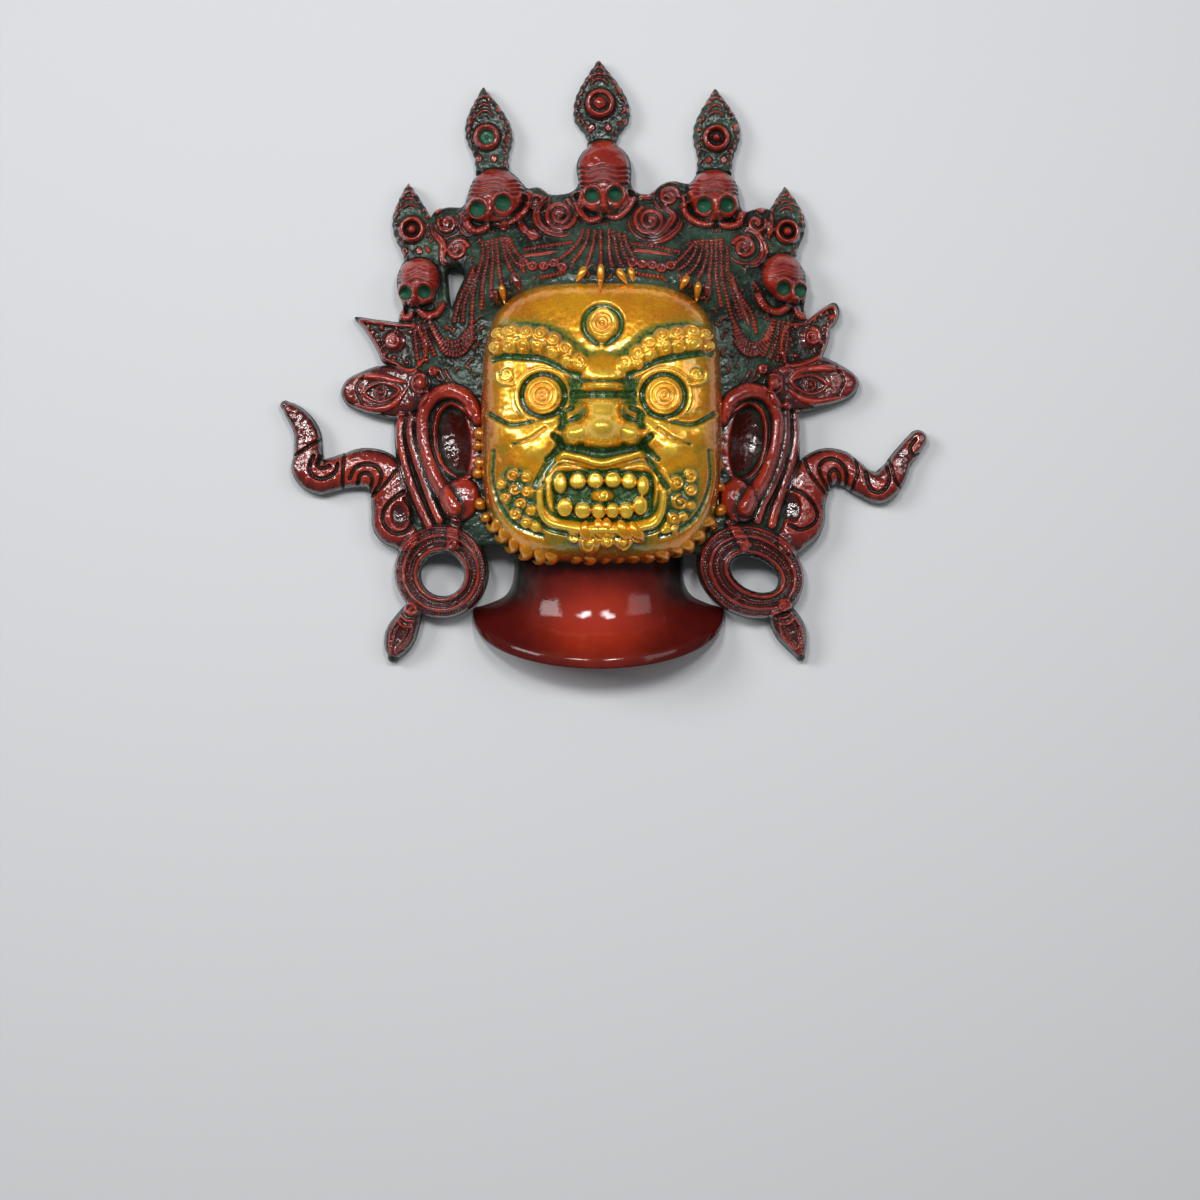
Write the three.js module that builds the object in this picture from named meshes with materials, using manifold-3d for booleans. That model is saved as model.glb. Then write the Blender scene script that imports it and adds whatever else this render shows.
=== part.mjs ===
// A cast brass wall hanging in the form of a wrathful protector's mask, lying on its back.
// One hollow casting: face, crown of five skulls, ears, rings, scarf ends and neck.
// Millimetres. X runs across the mask, Y towards the crown and Z out of the face.
// Z = 0 is the plane that the back rim rests on, and the origin is the middle of the outline.

import * as THREE from 'three';
import { mergeVertices } from 'three/addons/utils/BufferGeometryUtils.js';
import Module from 'manifold-3d';

const wasm = await Module();
wasm.setup();

// ---------------------------------------------------------------- driving dimensions

const MASK_WIDTH = 431.5;
const MASK_HEIGHT = 403;
const MASK_DEPTH = 118;

const EDGE_THICKNESS = 11; // scarf ends, rings and leaf tips
const GROUND_RISE = 32; // how much higher the surround stands where it meets the face
const GROUND_REACH = 46; // how far out from the face that rise dies away
const WALL = 4.5; // wall of the hollow casting
const BACK_RIM = 9; // width of the flat rim left round the hollow of the surround

const FACE = { x: -2, y: -42, halfWidth: 79, halfHeight: 91, height: 84, plan: 3, side: 2.8 };
const HALO = { x: -3, y: -15, halfWidth: 126, halfHeight: 118, power: 2.6, sides: 24 };
const NECK = { x: -4, top: -98, radius: 57, rimRadius: 84, rimY: -163, rimThickness: 6, depth: 52 };
const NECK_DROP = MASK_HEIGHT / 2 - (-NECK.rimY + NECK.rimThickness); // rim's front hangs lower

// ---------------------------------------------------------------- solids and their booleans

function solid(geometry) {
  const bare = geometry.clone();
  bare.deleteAttribute('normal');
  bare.deleteAttribute('uv');
  const merged = mergeVertices(bare, 1e-3);
  const mesh = new wasm.Mesh({
    numProp: 3,
    vertProperties: new Float32Array(merged.attributes.position.array),
    triVerts: new Uint32Array(merged.index.array),
  });
  return new wasm.Manifold(mesh);
}

function join(solids) {
  return solids.reduce((whole, next) => whole.add(next));
}

function toGeometry(manifold) {
  const { vertProperties, triVerts } = manifold.getMesh();
  const geometry = new THREE.BufferGeometry();
  geometry.setAttribute('position', new THREE.BufferAttribute(vertProperties, 3));
  geometry.setIndex(new THREE.BufferAttribute(triVerts, 1));
  geometry.computeVertexNormals();
  return geometry;
}

// ---------------------------------------------------------------- heights

// 1 on the face's outline, less inside it, more outside it.
function faceRadius(x, y) {
  const u = Math.abs((x - FACE.x) / FACE.halfWidth);
  const v = Math.abs((y - FACE.y) / FACE.halfHeight);
  return (u ** FACE.plan + v ** FACE.plan) ** (1 / FACE.plan);
}

function faceHeight(x, y) {
  return FACE.height * Math.max(0, 1 - faceRadius(x, y) ** FACE.side) ** (1 / FACE.side);
}

// Top of the surround's plain ground: high against the face, thin at the outline.
function groundHeight(x, y) {
  const outside = Math.max(0, faceRadius(x, y) - 1) * FACE.halfWidth;
  return EDGE_THICKNESS + GROUND_RISE * Math.exp(-((outside / GROUND_REACH) ** 2));
}

// ---------------------------------------------------------------- building blocks

function vectors(points) {
  return points.map(([x, y]) => new THREE.Vector2(x, y));
}

// Closed smooth outline through a few points.
function smoothShape(points, samples) {
  const curve = new THREE.CatmullRomCurve3(
    points.map(([x, y]) => new THREE.Vector3(x, y, 0)), true, 'centripetal');
  return new THREE.Shape(curve.getPoints(samples).slice(0, -1).map((p) => new THREE.Vector2(p.x, p.y)));
}

function ovalShape(x, y, radiusX, radiusY, sides, turn = 0) {
  const oval = new THREE.EllipseCurve(x, y, radiusX, radiusY, 0, 2 * Math.PI, false, turn);
  return new THREE.Shape(oval.getPoints(sides).slice(0, -1));
}

function withoutRepeat(points) {
  const closed = points[0].distanceTo(points.at(-1)) < 1e-6;
  return closed ? points.slice(0, -1) : points;
}

function slab(shape, height, bevel = 0) {
  const outline = new THREE.Shape(withoutRepeat(shape.getPoints(4)));
  outline.holes = shape.holes;
  const geometry = new THREE.ExtrudeGeometry(outline, {
    depth: height - bevel,
    bevelEnabled: bevel > 0,
    bevelThickness: bevel,
    bevelSize: bevel,
    bevelOffset: -bevel,
    bevelSegments: 1,
  });
  return solid(geometry);
}

function ball(x, y, z, radiusX, radiusY, radiusZ, detail = 1) {
  const geometry = new THREE.IcosahedronGeometry(1, detail);
  return solid(geometry.scale(radiusX, radiusY, radiusZ).translate(x, y, z));
}

// A round bar along a smooth line. Each point of the line is x, y, z.
function bar(points, radius, steps, sides = 6) {
  const section = ovalShape(0, 0, radius, radius, sides);
  const path = new THREE.CatmullRomCurve3(points.map((p) => new THREE.Vector3(...p)));
  return solid(new THREE.ExtrudeGeometry(section, { steps, extrudePath: path, bevelEnabled: false }));
}

// The same bar lying on the surround's ground, sunk to half its thickness.
function groundBar(points, radius, steps, sides = 5) {
  return bar(points.map(([x, y]) => [x, y, groundHeight(x, y)]), radius, steps, sides);
}

function faceBar(points, radius, steps, sink = 0, sides = 6) {
  return bar(points.map(([x, y]) => [x, y, faceHeight(x, y) - sink]), radius, steps, sides);
}

// A turned knob or ring standing on the surround: the profile is radius, height above base.
function turned(x, y, base, profile, sides) {
  const geometry = new THREE.LatheGeometry(vectors(profile), sides);
  return solid(geometry.rotateX(Math.PI / 2).translate(x, y, base));
}

// A flat band of varying width: each point is x, y and half the width there.
function bandShape(points, samples) {
  const curve = new THREE.CatmullRomCurve3(points.map((p) => new THREE.Vector3(...p)));
  const left = [];
  const right = [];
  for (let i = 0; i <= samples; i += 1) {
    const at = curve.getPoint(i / samples);
    const along = curve.getTangent(i / samples);
    const across = new THREE.Vector2(-along.y, along.x).normalize().multiplyScalar(at.z);
    left.push(new THREE.Vector2(at.x + across.x, at.y + across.y));
    right.unshift(new THREE.Vector2(at.x - across.x, at.y - across.y));
  }
  return new THREE.Shape([...left, ...right]);
}

// A strap: the band in two steps, the upper one narrower all along.
function strap(points, samples, thickness, step) {
  const upper = points.map(([x, y, half]) => [x, y, half - step]);
  return slab(bandShape(points, samples), thickness - step).add(slab(bandShape(upper, samples), thickness));
}

// ---------------------------------------------------------------- face

function roundedBlock(halfWidth, halfHeight, height, around, rings) {
  const geometry = new THREE.SphereGeometry(1, around, rings).rotateX(Math.PI / 2);
  const position = geometry.attributes.position;
  const point = new THREE.Vector3();
  for (let i = 0; i < position.count; i += 1) {
    point.fromBufferAttribute(position, i);
    const plan = (Math.abs(point.x) ** FACE.plan + Math.abs(point.y) ** FACE.plan) ** (1 / FACE.plan);
    const size = (plan ** FACE.side + Math.abs(point.z) ** FACE.side) ** (1 / FACE.side);
    point.divideScalar(size);
    position.setXYZ(i, point.x * halfWidth, point.y * halfHeight, point.z * height);
  }
  return solid(geometry.translate(FACE.x, FACE.y, 0));
}

function brow(side) {
  const line = [[64, 12], [48, 12], [28, 4], [13, -6]];
  return faceBar(line.map(([x, y]) => [FACE.x + side * x, y]), 7, 5, 3);
}

function eye(side) {
  const x = FACE.x + side * 38;
  const y = -26.5;
  const lid = [[-20, 3], [-13, 13], [0, 17], [13, 13], [20, 3]];
  const fold = [[-20, -6], [-10, -16], [6, -18], [20, -14]];
  const ballHeight = faceHeight(x, y) - 5;
  return [
    ball(x, y, ballHeight, 13, 13, 13),
    faceBar(lid.map(([u, v]) => [x + side * u, y + v]), 3, 4, 0, 4),
    faceBar(fold.map(([u, v]) => [x + side * u, y + v]), 3, 4, 0, 4),
  ];
}

function thirdEye() {
  const y = 20;
  const almond = new THREE.Shape();
  almond.moveTo(FACE.x, y + 13);
  almond.quadraticCurveTo(FACE.x + 17, y, FACE.x, y - 13);
  almond.quadraticCurveTo(FACE.x - 17, y, FACE.x, y + 13);
  return slab(almond, faceHeight(FACE.x, y) + 2.5, 2);
}

function nose() {
  const tip = { y: -51, radius: 13 };
  const bridge = [[0, 0, 78], [0, -18, 84], [0, -38, 94], [0, -50, MASK_DEPTH - tip.radius - 3]];
  const wings = [-1, 1].map((side) => ball(FACE.x + side * 18, -53, 90, 9, 8, 10));
  return [
    bar(bridge.map(([x, y, z]) => [FACE.x + x, y, z]), 11, 4, 7),
    ball(FACE.x, tip.y, MASK_DEPTH - tip.radius, tip.radius, 11, tip.radius),
    ...wings,
  ];
}

function cheek(side) {
  return ball(FACE.x + side * 43, -57, 74, 16, 13, 17);
}

const MOUTH = { x: FACE.x, y: -92, halfWidth: 36, halfHeight: 17, floor: 80, lipRadius: 5.5 };

function muzzle() {
  return ball(MOUTH.x, MOUTH.y, 62, 50, 32, 36);
}

function mouthCavity() {
  const outline = ovalShape(MOUTH.x, MOUTH.y, MOUTH.halfWidth, MOUTH.halfHeight, 12);
  return slab(outline, MASK_DEPTH).translate(0, 0, MOUTH.floor);
}

function lips() {
  const upper = [
    [-38, 4, 82], [-25, 23, 93], [-12, 24, 99], [0, 21, 100],
    [12, 24, 99], [25, 23, 93], [38, 4, 82],
  ];
  const lower = [[-38, 6, 82], [-34, -13, 88], [-16, -21, 94], [16, -21, 94], [34, -13, 88], [38, 6, 82]];
  return [upper, lower].map((line) => bar(
    line.map(([x, y, z]) => [MOUTH.x + x, MOUTH.y + y, z]), MOUTH.lipRadius, 6, 5));
}

function teeth() {
  const rows = [{ y: 9, count: 6 }, { y: -6, count: 6 }];
  const pitch = 10.2;
  const all = [];
  for (const row of rows) {
    for (let i = 0; i < row.count; i += 1) {
      const across = (i - (row.count - 1) / 2) * pitch;
      all.push(ball(MOUTH.x + across, MOUTH.y + row.y, MOUTH.floor + 3, 5.4, 7, 8, 0));
    }
  }
  return all;
}

function beard() {
  const curls = [[-55, -122, 8], [-37, -129, 7], [-15, -122, 10], [0, -125, 8], [17, -122, 10],
    [34, -128, 7], [49, -121, 8]];
  return curls.map(([x, y, radius]) => ball(x, y, 44 + radius, radius, radius, radius + 6, 0));
}

function earTufts(side) {
  const places = [[78, -52], [77, -76], [71, -104]];
  return places.map(([x, y]) => ball(FACE.x + side * x, y, 40, 6, 5, 8, 0));
}

// ---------------------------------------------------------------- neck

// A turned bell with the flare at its open end, halved by the back plane and leaning forward.
// The inset bell is the space inside it, which runs on out of the open end.
function bell(inset) {
  const { top, radius, rimRadius, rimY } = NECK;
  const end = rimY - (inset > 0 ? 2 * NECK.rimThickness : NECK.rimThickness);
  const profile = [
    [0, end], [rimRadius - inset, end], [rimRadius - inset, rimY],
    [rimRadius - 14 - inset, rimY + 5], [radius + 3 - inset, rimY + 14], [radius - inset, rimY + 28],
    [radius - inset, top], [0, top],
  ];
  const geometry = new THREE.LatheGeometry(vectors(profile), 20);
  const lean = NECK_DROP / NECK.depth;
  geometry.scale(1, 1, NECK.depth / rimRadius);
  const position = geometry.attributes.position;
  for (let i = 0; i < position.count; i += 1) {
    position.setY(i, position.getY(i) - lean * position.getZ(i));
  }
  return solid(geometry.translate(NECK.x, 0, 0));
}

// ---------------------------------------------------------------- surround ground

function reliefSlab(height, cells) {
  const geometry = new THREE.BoxGeometry(300, 300, 2, cells, cells, 1);
  const position = geometry.attributes.position;
  for (let i = 0; i < position.count; i += 1) {
    const top = position.getZ(i) > 0;
    position.setZ(i, top ? height(position.getX(i), position.getY(i)) : -5);
  }
  return solid(geometry);
}

// The rounded outline of the surround's ground, drawn in by an inset for the hollow under it.
function haloShape(inset = 0) {
  const points = [];
  for (let i = 0; i < HALO.sides; i += 1) {
    const angle = (2 * Math.PI * i) / HALO.sides;
    const cos = Math.cos(angle);
    const sin = Math.sin(angle);
    const size = (Math.abs(cos) ** HALO.power + Math.abs(sin) ** HALO.power) ** (-1 / HALO.power);
    points.push([
      HALO.x + (HALO.halfWidth - inset) * size * cos,
      HALO.y + (HALO.halfHeight - inset) * size * sin,
    ]);
  }
  return new THREE.Shape(vectors(points));
}

// ---------------------------------------------------------------- crown

const SKULLS = [
  { x: -1, y: 124, radiusX: 18.5, radiusY: 22, eyes: [[-8, -15], [8, -15]],
    jaw: [[-17, -21], [-9, -29], [0, -21], [12, -27], [18, -18]] },
  { x: -72, y: 111, radiusX: 19.5, radiusY: 17, eyes: [[-12, -9], [4, -7]],
    jaw: [[-18, -18], [-11, -23], [-2, -14], [7, -20], [20, -9]] },
  { x: 72, y: 112, radiusX: 17, radiusY: 16, eyes: [[-4, -8], [9, -9]],
    jaw: [[-20, -10], [-10, -21], [1, -16], [9, -21], [16, -18]] },
  { x: -122, y: 54, radiusX: 14, radiusY: 14, eyes: [[-10, -9], [4, -9]],
    jaw: [[-11, -24], [-5, -16], [4, -22], [14, -21]] },
  { x: 118, y: 57, radiusX: 14.5, radiusY: 14, eyes: [[1, -9], [11, -11]],
    jaw: [[-15, -16], [-3, -23], [8, -18], [13, -27]] },
];
const SKULL_HEIGHT = 15;

function skull({ x, y, radiusX, radiusY, eyes, jaw }) {
  const base = groundHeight(x, y);
  const socket = { radius: 4.5, depth: 9 };
  const head = ball(x, y, base - 2, radiusX, radiusY, SKULL_HEIGHT + 4);
  const face = ball(x, y - radiusY * 0.75, base, radiusX * 0.72, radiusY * 0.62, SKULL_HEIGHT - 2);
  const lip = bar(jaw.map(([u, v]) => [x + u, y + v, base + 7]), 4, 4, 4);
  const sockets = eyes.map(([u, v]) => ball(
    x + u, y + v, base + SKULL_HEIGHT, socket.radius, socket.radius, socket.depth, 0));
  return sockets.reduce((whole, hole) => whole.subtract(hole), join([head, face])).add(lip);
}

const FINIALS = [
  { tip: [-4, MASK_HEIGHT / 2], widest: [-2, 167], halfWidth: 18.5, foot: [-1.5, 138], footHalf: 10 },
  { tip: [-81, 183.5], widest: [-77.5, 151], halfWidth: 15.5, foot: [-74.5, 122], footHalf: 11 },
  { tip: [74, 182.5], widest: [75, 148.5], halfWidth: 15.5, foot: [73, 122], footHalf: 11.5 },
  { tip: [-131, 119.5], widest: [-128, 88], halfWidth: 13.5, foot: [-122, 62], footHalf: 10 },
  { tip: [120.5, 117], widest: [120.5, 92], halfWidth: 13.5, foot: [117, 66], footHalf: 10 },
];

function finial({ tip, widest, halfWidth, foot, footHalf }) {
  const shoulder = (widest[1] + tip[1]) / 2;
  const leaf = new THREE.Shape();
  leaf.moveTo(...tip);
  leaf.bezierCurveTo(
    tip[0] - 2, tip[1] - 8,
    widest[0] - halfWidth, shoulder,
    widest[0] - halfWidth, widest[1],
  );
  leaf.bezierCurveTo(
    widest[0] - halfWidth, widest[1] - 8,
    foot[0] - footHalf, foot[1] + 12,
    foot[0] - footHalf, foot[1],
  );
  leaf.lineTo(foot[0] + footHalf, foot[1]);
  leaf.bezierCurveTo(
    foot[0] + footHalf, foot[1] + 12,
    widest[0] + halfWidth, widest[1] - 8,
    widest[0] + halfWidth, widest[1],
  );
  leaf.bezierCurveTo(widest[0] + halfWidth, shoulder, tip[0] + 2, tip[1] - 8, ...tip);
  const thickness = EDGE_THICKNESS;
  const ring = halfWidth * 0.56;
  const boss = [[0, -2], [ring, -2], [ring - 1.5, 3.5], [ring - 4, 1], [0, 6.5]];
  return slab(leaf, thickness).add(turned(widest[0], widest[1], thickness, boss, 8));
}

const SCROLLS = [
  { x: -30, y: 97, radius: 15 }, { x: -46, y: 107, radius: 7 },
  { x: 30, y: 93, radius: 14 }, { x: 42, y: 110, radius: 9.5 },
  { x: -97, y: 73, radius: 12 }, { x: -105, y: 92, radius: 11 },
  { x: 92, y: 75, radius: 13 }, { x: 99, y: 92, radius: 10 },
];

// A round curl: a low disc with a raised band and a middle bead.
function scroll({ x, y, radius }) {
  const base = groundHeight(x, y);
  const disc = [[0, -base], [radius, -base], [radius * 0.85, 3], [radius * 0.45, 0.5], [0, 4]];
  return turned(x, y, base, disc, radius > 11 ? 8 : 6);
}

const GARLANDS = [
  [[-2, 90], [-2, 70], [-2, 52]], [[-12, 86], [-20, 68], [-38, 58], [-54, 66], [-62, 84]],
  [[10, 86], [18, 68], [36, 58], [52, 66], [60, 84]],
  [[-70, 86], [-70, 60], [-64, 42]], [[-80, 80], [-88, 50], [-94, 28]],
  [[68, 86], [68, 60], [64, 42]], [[78, 80], [86, 50], [92, 30]],
  [[-124, 24], [-112, 8], [-96, 8], [-84, 24]], [[118, 28], [108, 8], [94, 8], [82, 24]],
];

// ---------------------------------------------------------------- sides

// The ground behind an ear, out to the strands that frame it.
function earPlate(side) {
  const left = [
    [-128, -14], [-142, -38], [-140, -62], [-135, -80],
    [-124, -108], [-98, -122], [-72, -116], [-66, -30],
  ];
  const right = [
    [118, -14], [131, -35], [131, -54], [128, -72], [121, -96],
    [108, -116], [86, -122], [68, -110], [62, -30],
  ];
  return slab(smoothShape(side < 0 ? left : right, 20), MASK_DEPTH);
}

const EARS = [
  { x: -99, y: -55, rim: [[-86, -34], [-103, -22], [-117, -37], [-117, -57], [-109, -79], [-97, -97]] },
  { x: 93, y: -55, rim: [[79, -32], [96, -22], [111, -38], [110, -58], [104, -76], [92, -100]] },
];
const EAR_BOWL = { halfWidth: 12, halfHeight: 26, depth: 16 };

function earBowl({ x, y }, wall = 0) {
  const { halfWidth, halfHeight, depth } = EAR_BOWL;
  return ball(x, y, groundHeight(x, y) + 2, halfWidth + wall, halfHeight + wall, depth + wall);
}

function earRim({ rim }) {
  return groundBar(rim, 5.5, 7, 5);
}

const STRANDS = [
  [[-138, -38], [-135, -60], [-129, -78], [-118, -104]],
  [[126, -34], [125, -54], [121, -76], [111, -104]],
];

const EARRINGS = [
  { x: -108.5, y: -139, radiusX: 32, radiusY: 31,
    hole: { x: -107.5, y: -141, radiusX: 15, radiusY: 14 }, turn: 0 },
  { x: 97, y: -139, radiusX: 36, radiusY: 31,
    hole: { x: 99.5, y: -141, radiusX: 16.5, radiusY: 10.5 }, turn: -0.42 },
];

function earring({ x, y, radiusX, radiusY, hole, turn }) {
  const outline = ovalShape(x, y, radiusX, radiusY, 20, turn);
  outline.holes.push(new THREE.Path(
    ovalShape(hole.x, hole.y, hole.radiusX, hole.radiusY, 12, turn).getPoints().reverse()));
  return slab(outline, 14, 3);
}

const PENDANTS = [
  { top: [-127, -160], middle: [-136.5, -181], tip: [-140.5, -195.6] },
  { top: [116, -158], middle: [124, -179], tip: [130.5, -194.8] },
];

function pendant({ top, middle, tip }) {
  return strap([[...top, 6], [...middle, 10], [...tip, 3]], 7, 13, 2);
}

const SCARVES = [
  [[-211.3, -29, 4.4], [-206, -36, 6.5], [-199, -45, 8.5],
   [-197, -60, 9.5], [-192, -74, 12], [-176, -71.5, 11.5],
    [-161, -69, 13.5], [-149, -76, 14], [-143, -90, 13], [-141, -104, 14], [-134, -114, 11]],
  [[209.5, -50.5, 6.2], [204, -57, 7], [198, -63, 7.5], [190, -76, 10.5], [180, -84, 11], [168, -78, 9.5],
    [160, -72, 10.5], [149, -69, 13], [139, -76, 14], [133, -92, 13.5], [132, -106, 14], [126, -116, 11]],
];

function scarf(line) {
  const [tipX, tipY, tipRadius] = line[0];
  const band = strap(line, 12, EDGE_THICKNESS + 2, 3);
  const reach = MASK_WIDTH / 2 - Math.abs(tipX);
  return band.add(slab(ovalShape(tipX, tipY, reach, tipRadius, 10), EDGE_THICKNESS, 2));
}

const BUDS = [
  [[-175.5, -18], [-168, -10], [-150, -1], [-132, -4], [-120, -10],
   [-120, -26], [-138, -37], [-154, -36], [-171, -28]],
  [[169.5, -13], [159, -2], [144, 4.5], [124, -2], [112, -8],
   [112, -26], [130, -34], [145, -30], [162, -23]],
];

function bud(outline, side) {
  const almond = ball(side < 0 ? -146 : 137, side < 0 ? -19 : -14, 16, 18, 9, 9);
  const knob = ball(side < 0 ? -121 : 111, -15, 26, 5.5, 5.5, 6);
  return slab(smoothShape(outline, 12), 18, 3).add(almond).add(knob);
}

const HORNS = [
  [[-166.4, 31], [-136, 26], [-120, 22], [-120, -8], [-148, 0], [-156, 16]],
  [[153.5, 41], [156, 31], [149, 22], [147, 4], [118, -8], [118, 22], [135, 29]],
];

function horn(outline, side) {
  const curl = side < 0 ? { x: -140, y: 14 } : { x: 138, y: 17 };
  const ring = [[0, -2], [6.5, -2], [6.5, 1.5], [4, 2], [2.5, 1], [0, 3]];
  return slab(smoothShape(outline, 12), 15, 2).add(turned(curl.x, curl.y, 15, ring, 10));
}

// The opening in the surround beside the outer left skull, where the two branches part.
function sideGap() {
  return slab(smoothShape([[-103, 60], [-94, 60], [-101, 34]], 9), MASK_DEPTH).translate(0, 0, -5);
}

// ---------------------------------------------------------------- the casting

function surround() {
  const outline = join([slab(haloShape(), MASK_DEPTH), earPlate(-1), earPlate(1)]);
  const ground = reliefSlab(groundHeight, 11).intersect(outline);
  const bowled = EARS.reduce((whole, ear) => whole.subtract(earBowl(ear)), ground);
  const sides = [-1, 1].flatMap((side, i) => [
    earRim(EARS[i]), groundBar(STRANDS[i], 4.5, 4), bud(BUDS[i], side), horn(HORNS[i], side),
    earring(EARRINGS[i]), pendant(PENDANTS[i]), scarf(SCARVES[i]),
  ]);
  const crown = [
    ...FINIALS.map(finial), ...SKULLS.map(skull), ...SCROLLS.map(scroll),
    ...GARLANDS.map((line) => groundBar(line, 4, 3, 4)),
  ];
  return join([bowled, ...sides, ...crown]).subtract(sideGap());
}

function face() {
  const head = join([
    roundedBlock(FACE.halfWidth, FACE.halfHeight, FACE.height, 22, 14), muzzle(),
    brow(-1), brow(1), ...eye(-1), ...eye(1), thirdEye(), ...nose(), cheek(-1), cheek(1),
  ]);
  const parts = [...lips(), ...teeth(), ...beard(), ...earTufts(-1), ...earTufts(1)];
  return join([head.subtract(mouthCavity()), ...parts]);
}

function hollow() {
  const underGround = reliefSlab((x, y) => groundHeight(x, y) - WALL, 8)
    .intersect(slab(haloShape(BACK_RIM), MASK_DEPTH).translate(0, 0, -5));
  const clearOfEars = EARS.reduce((space, ear) => space.subtract(earBowl(ear, WALL)), underGround);
  const inFace = roundedBlock(
    FACE.halfWidth - WALL, FACE.halfHeight - WALL, FACE.height - WALL - 3, 16, 8);
  return join([clearOfEars, inFace, bell(WALL)]);
}

function casting() {
  const outside = join([surround(), face(), bell(0)]);
  const abovePlane = slab(ovalShape(0, 0, MASK_WIDTH, MASK_HEIGHT, 8), 2 * MASK_DEPTH);
  return outside.subtract(hollow()).intersect(abovePlane);
}

const lacqueredBrass = new THREE.MeshStandardMaterial({ color: 0x8c2a1c, roughness: 0.35, metalness: 0.8 });
const mask = new THREE.Mesh(toGeometry(casting()), lacqueredBrass);
mask.name = 'mask';

const part = new THREE.Group();
part.add(mask);
export default part;
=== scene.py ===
# Looks of a cast brass wall hanging in the form of a wrathful protector's mask, lying on its back.
# The CAD solid gives size and place. The relief is modelled here as height maps in millimetres:
# one over the whole surround (crown, ears, rings, scarf ends) and one over the domed face.
# X runs across the mask, Y towards the crown and Z out of the face, as in the CAD.

import bpy
import numpy as np
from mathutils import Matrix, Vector


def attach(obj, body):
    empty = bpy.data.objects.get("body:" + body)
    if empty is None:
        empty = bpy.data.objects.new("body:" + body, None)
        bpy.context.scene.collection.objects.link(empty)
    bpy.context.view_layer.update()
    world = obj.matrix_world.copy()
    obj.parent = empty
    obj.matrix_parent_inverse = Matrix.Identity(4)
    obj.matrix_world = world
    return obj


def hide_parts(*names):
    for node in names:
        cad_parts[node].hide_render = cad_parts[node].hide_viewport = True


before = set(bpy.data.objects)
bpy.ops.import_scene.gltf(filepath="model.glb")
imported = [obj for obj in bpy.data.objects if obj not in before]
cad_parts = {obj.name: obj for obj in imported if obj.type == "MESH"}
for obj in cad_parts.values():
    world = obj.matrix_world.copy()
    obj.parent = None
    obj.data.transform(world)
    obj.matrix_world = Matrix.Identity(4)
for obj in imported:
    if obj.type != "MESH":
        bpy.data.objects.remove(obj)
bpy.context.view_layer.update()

MM = 0.001
SURROUND_PITCH = 0.5  # spacing of the surround's mesh
FACE_CELLS = 420  # cells along each side of the face's mesh
FACE_SPLIT = -36  # height at which the face's mesh is cut into two pieces of like size
BACK_PITCH = 2.0  # spacing of the back's mesh
FAR = 8.0  # distances to an outline are only worked out this close to it

# ---------------------------------------------------------------- shared sizes

# The CAD's own: the surround, its flat back rim, the oval round its hollow, and the neck.
EDGE_THICKNESS = 11.0
GROUND_RISE = 32.0
GROUND_REACH = 46.0
WALL = 4.5
BACK_RIM = 9.0
HALO_X, HALO_Y, HALO_POWER = -3, -15, 2.6
HALO_HALF_WIDTH, HALO_HALF_HEIGHT = 126, 118
NECK_X, NECK_LEAN = -4.0, 32.5 / 52.0

# The face is squarer than the CAD's block, its middle 1 mm higher and its half sizes up to 1.5 mm more.
FACE_X, FACE_Y = -2.0, -41.0
FACE_HALF_WIDTH, FACE_HALF_HEIGHT, FACE_DEPTH = 79.5, 92.5, 84.0
FACE_PLAN, FACE_SIDE = 3.6, 5.5

# Only modelled here.
INNER_DOME = 1.10  # the face's plan over that of the hollow behind it
COLLAR_RISE, COLLAR_REACH = 17.0, 17.0  # the crown's foot comes up to the top of the forehead
FOREHEAD_SLOPE = 0.06  # the forehead falls back this share of the face's depth at its top
CROWN_FOOT = 40  # height on the mask above which the surround is the crown's piece
UNDER_FACE = 0.955  # the surround reaches this far in under the face's outline
FACE_EDGE = 0.9975  # the face's mesh stops here, just inside its outline
EAR_BACK, EAR_BOWL = 40, 22  # height of the hollow behind an ear, and how much its bowl takes off
TUFT_Z, BEARD_Z, CHIN_Z = 44, 54, 78  # heights of the curls at the sides, round the jaw and on the chin
NECK_WALL, NECK_FACETS = 5.0, 180


def face_radius(x, y):
    """1 on the face's outline, less inside it, more outside it."""
    u = np.abs((x - FACE_X) / FACE_HALF_WIDTH)
    v = np.abs((y - FACE_Y) / FACE_HALF_HEIGHT)
    return (u**FACE_PLAN + v**FACE_PLAN) ** (1 / FACE_PLAN)


def face_height(x, y):
    inside = np.clip(1 - face_radius(x, y) ** FACE_SIDE, 0, 1)
    return FACE_DEPTH * inside ** (1 / FACE_SIDE) * (1 - FOREHEAD_SLOPE * ease(-5, 58, y))


def ground_height(x, y):
    """Top of the surround's plain ground: high against the face, thin at the outline."""
    outside = np.maximum(0, face_radius(x, y) - 1) * FACE_HALF_WIDTH
    collar = COLLAR_RISE * ease(25, 50, y) * np.exp(-((outside / COLLAR_REACH) ** 2))
    return EDGE_THICKNESS + GROUND_RISE * np.exp(-((outside / GROUND_REACH) ** 2)) + collar


def ease(low, high, value):
    t = np.clip((value - low) / (high - low), 0, 1)
    return t * t * (3 - 2 * t)


# ---------------------------------------------------------------- lines and height maps

BOTH = (True, True)  # a ridge drawn to a point at both ends


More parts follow.
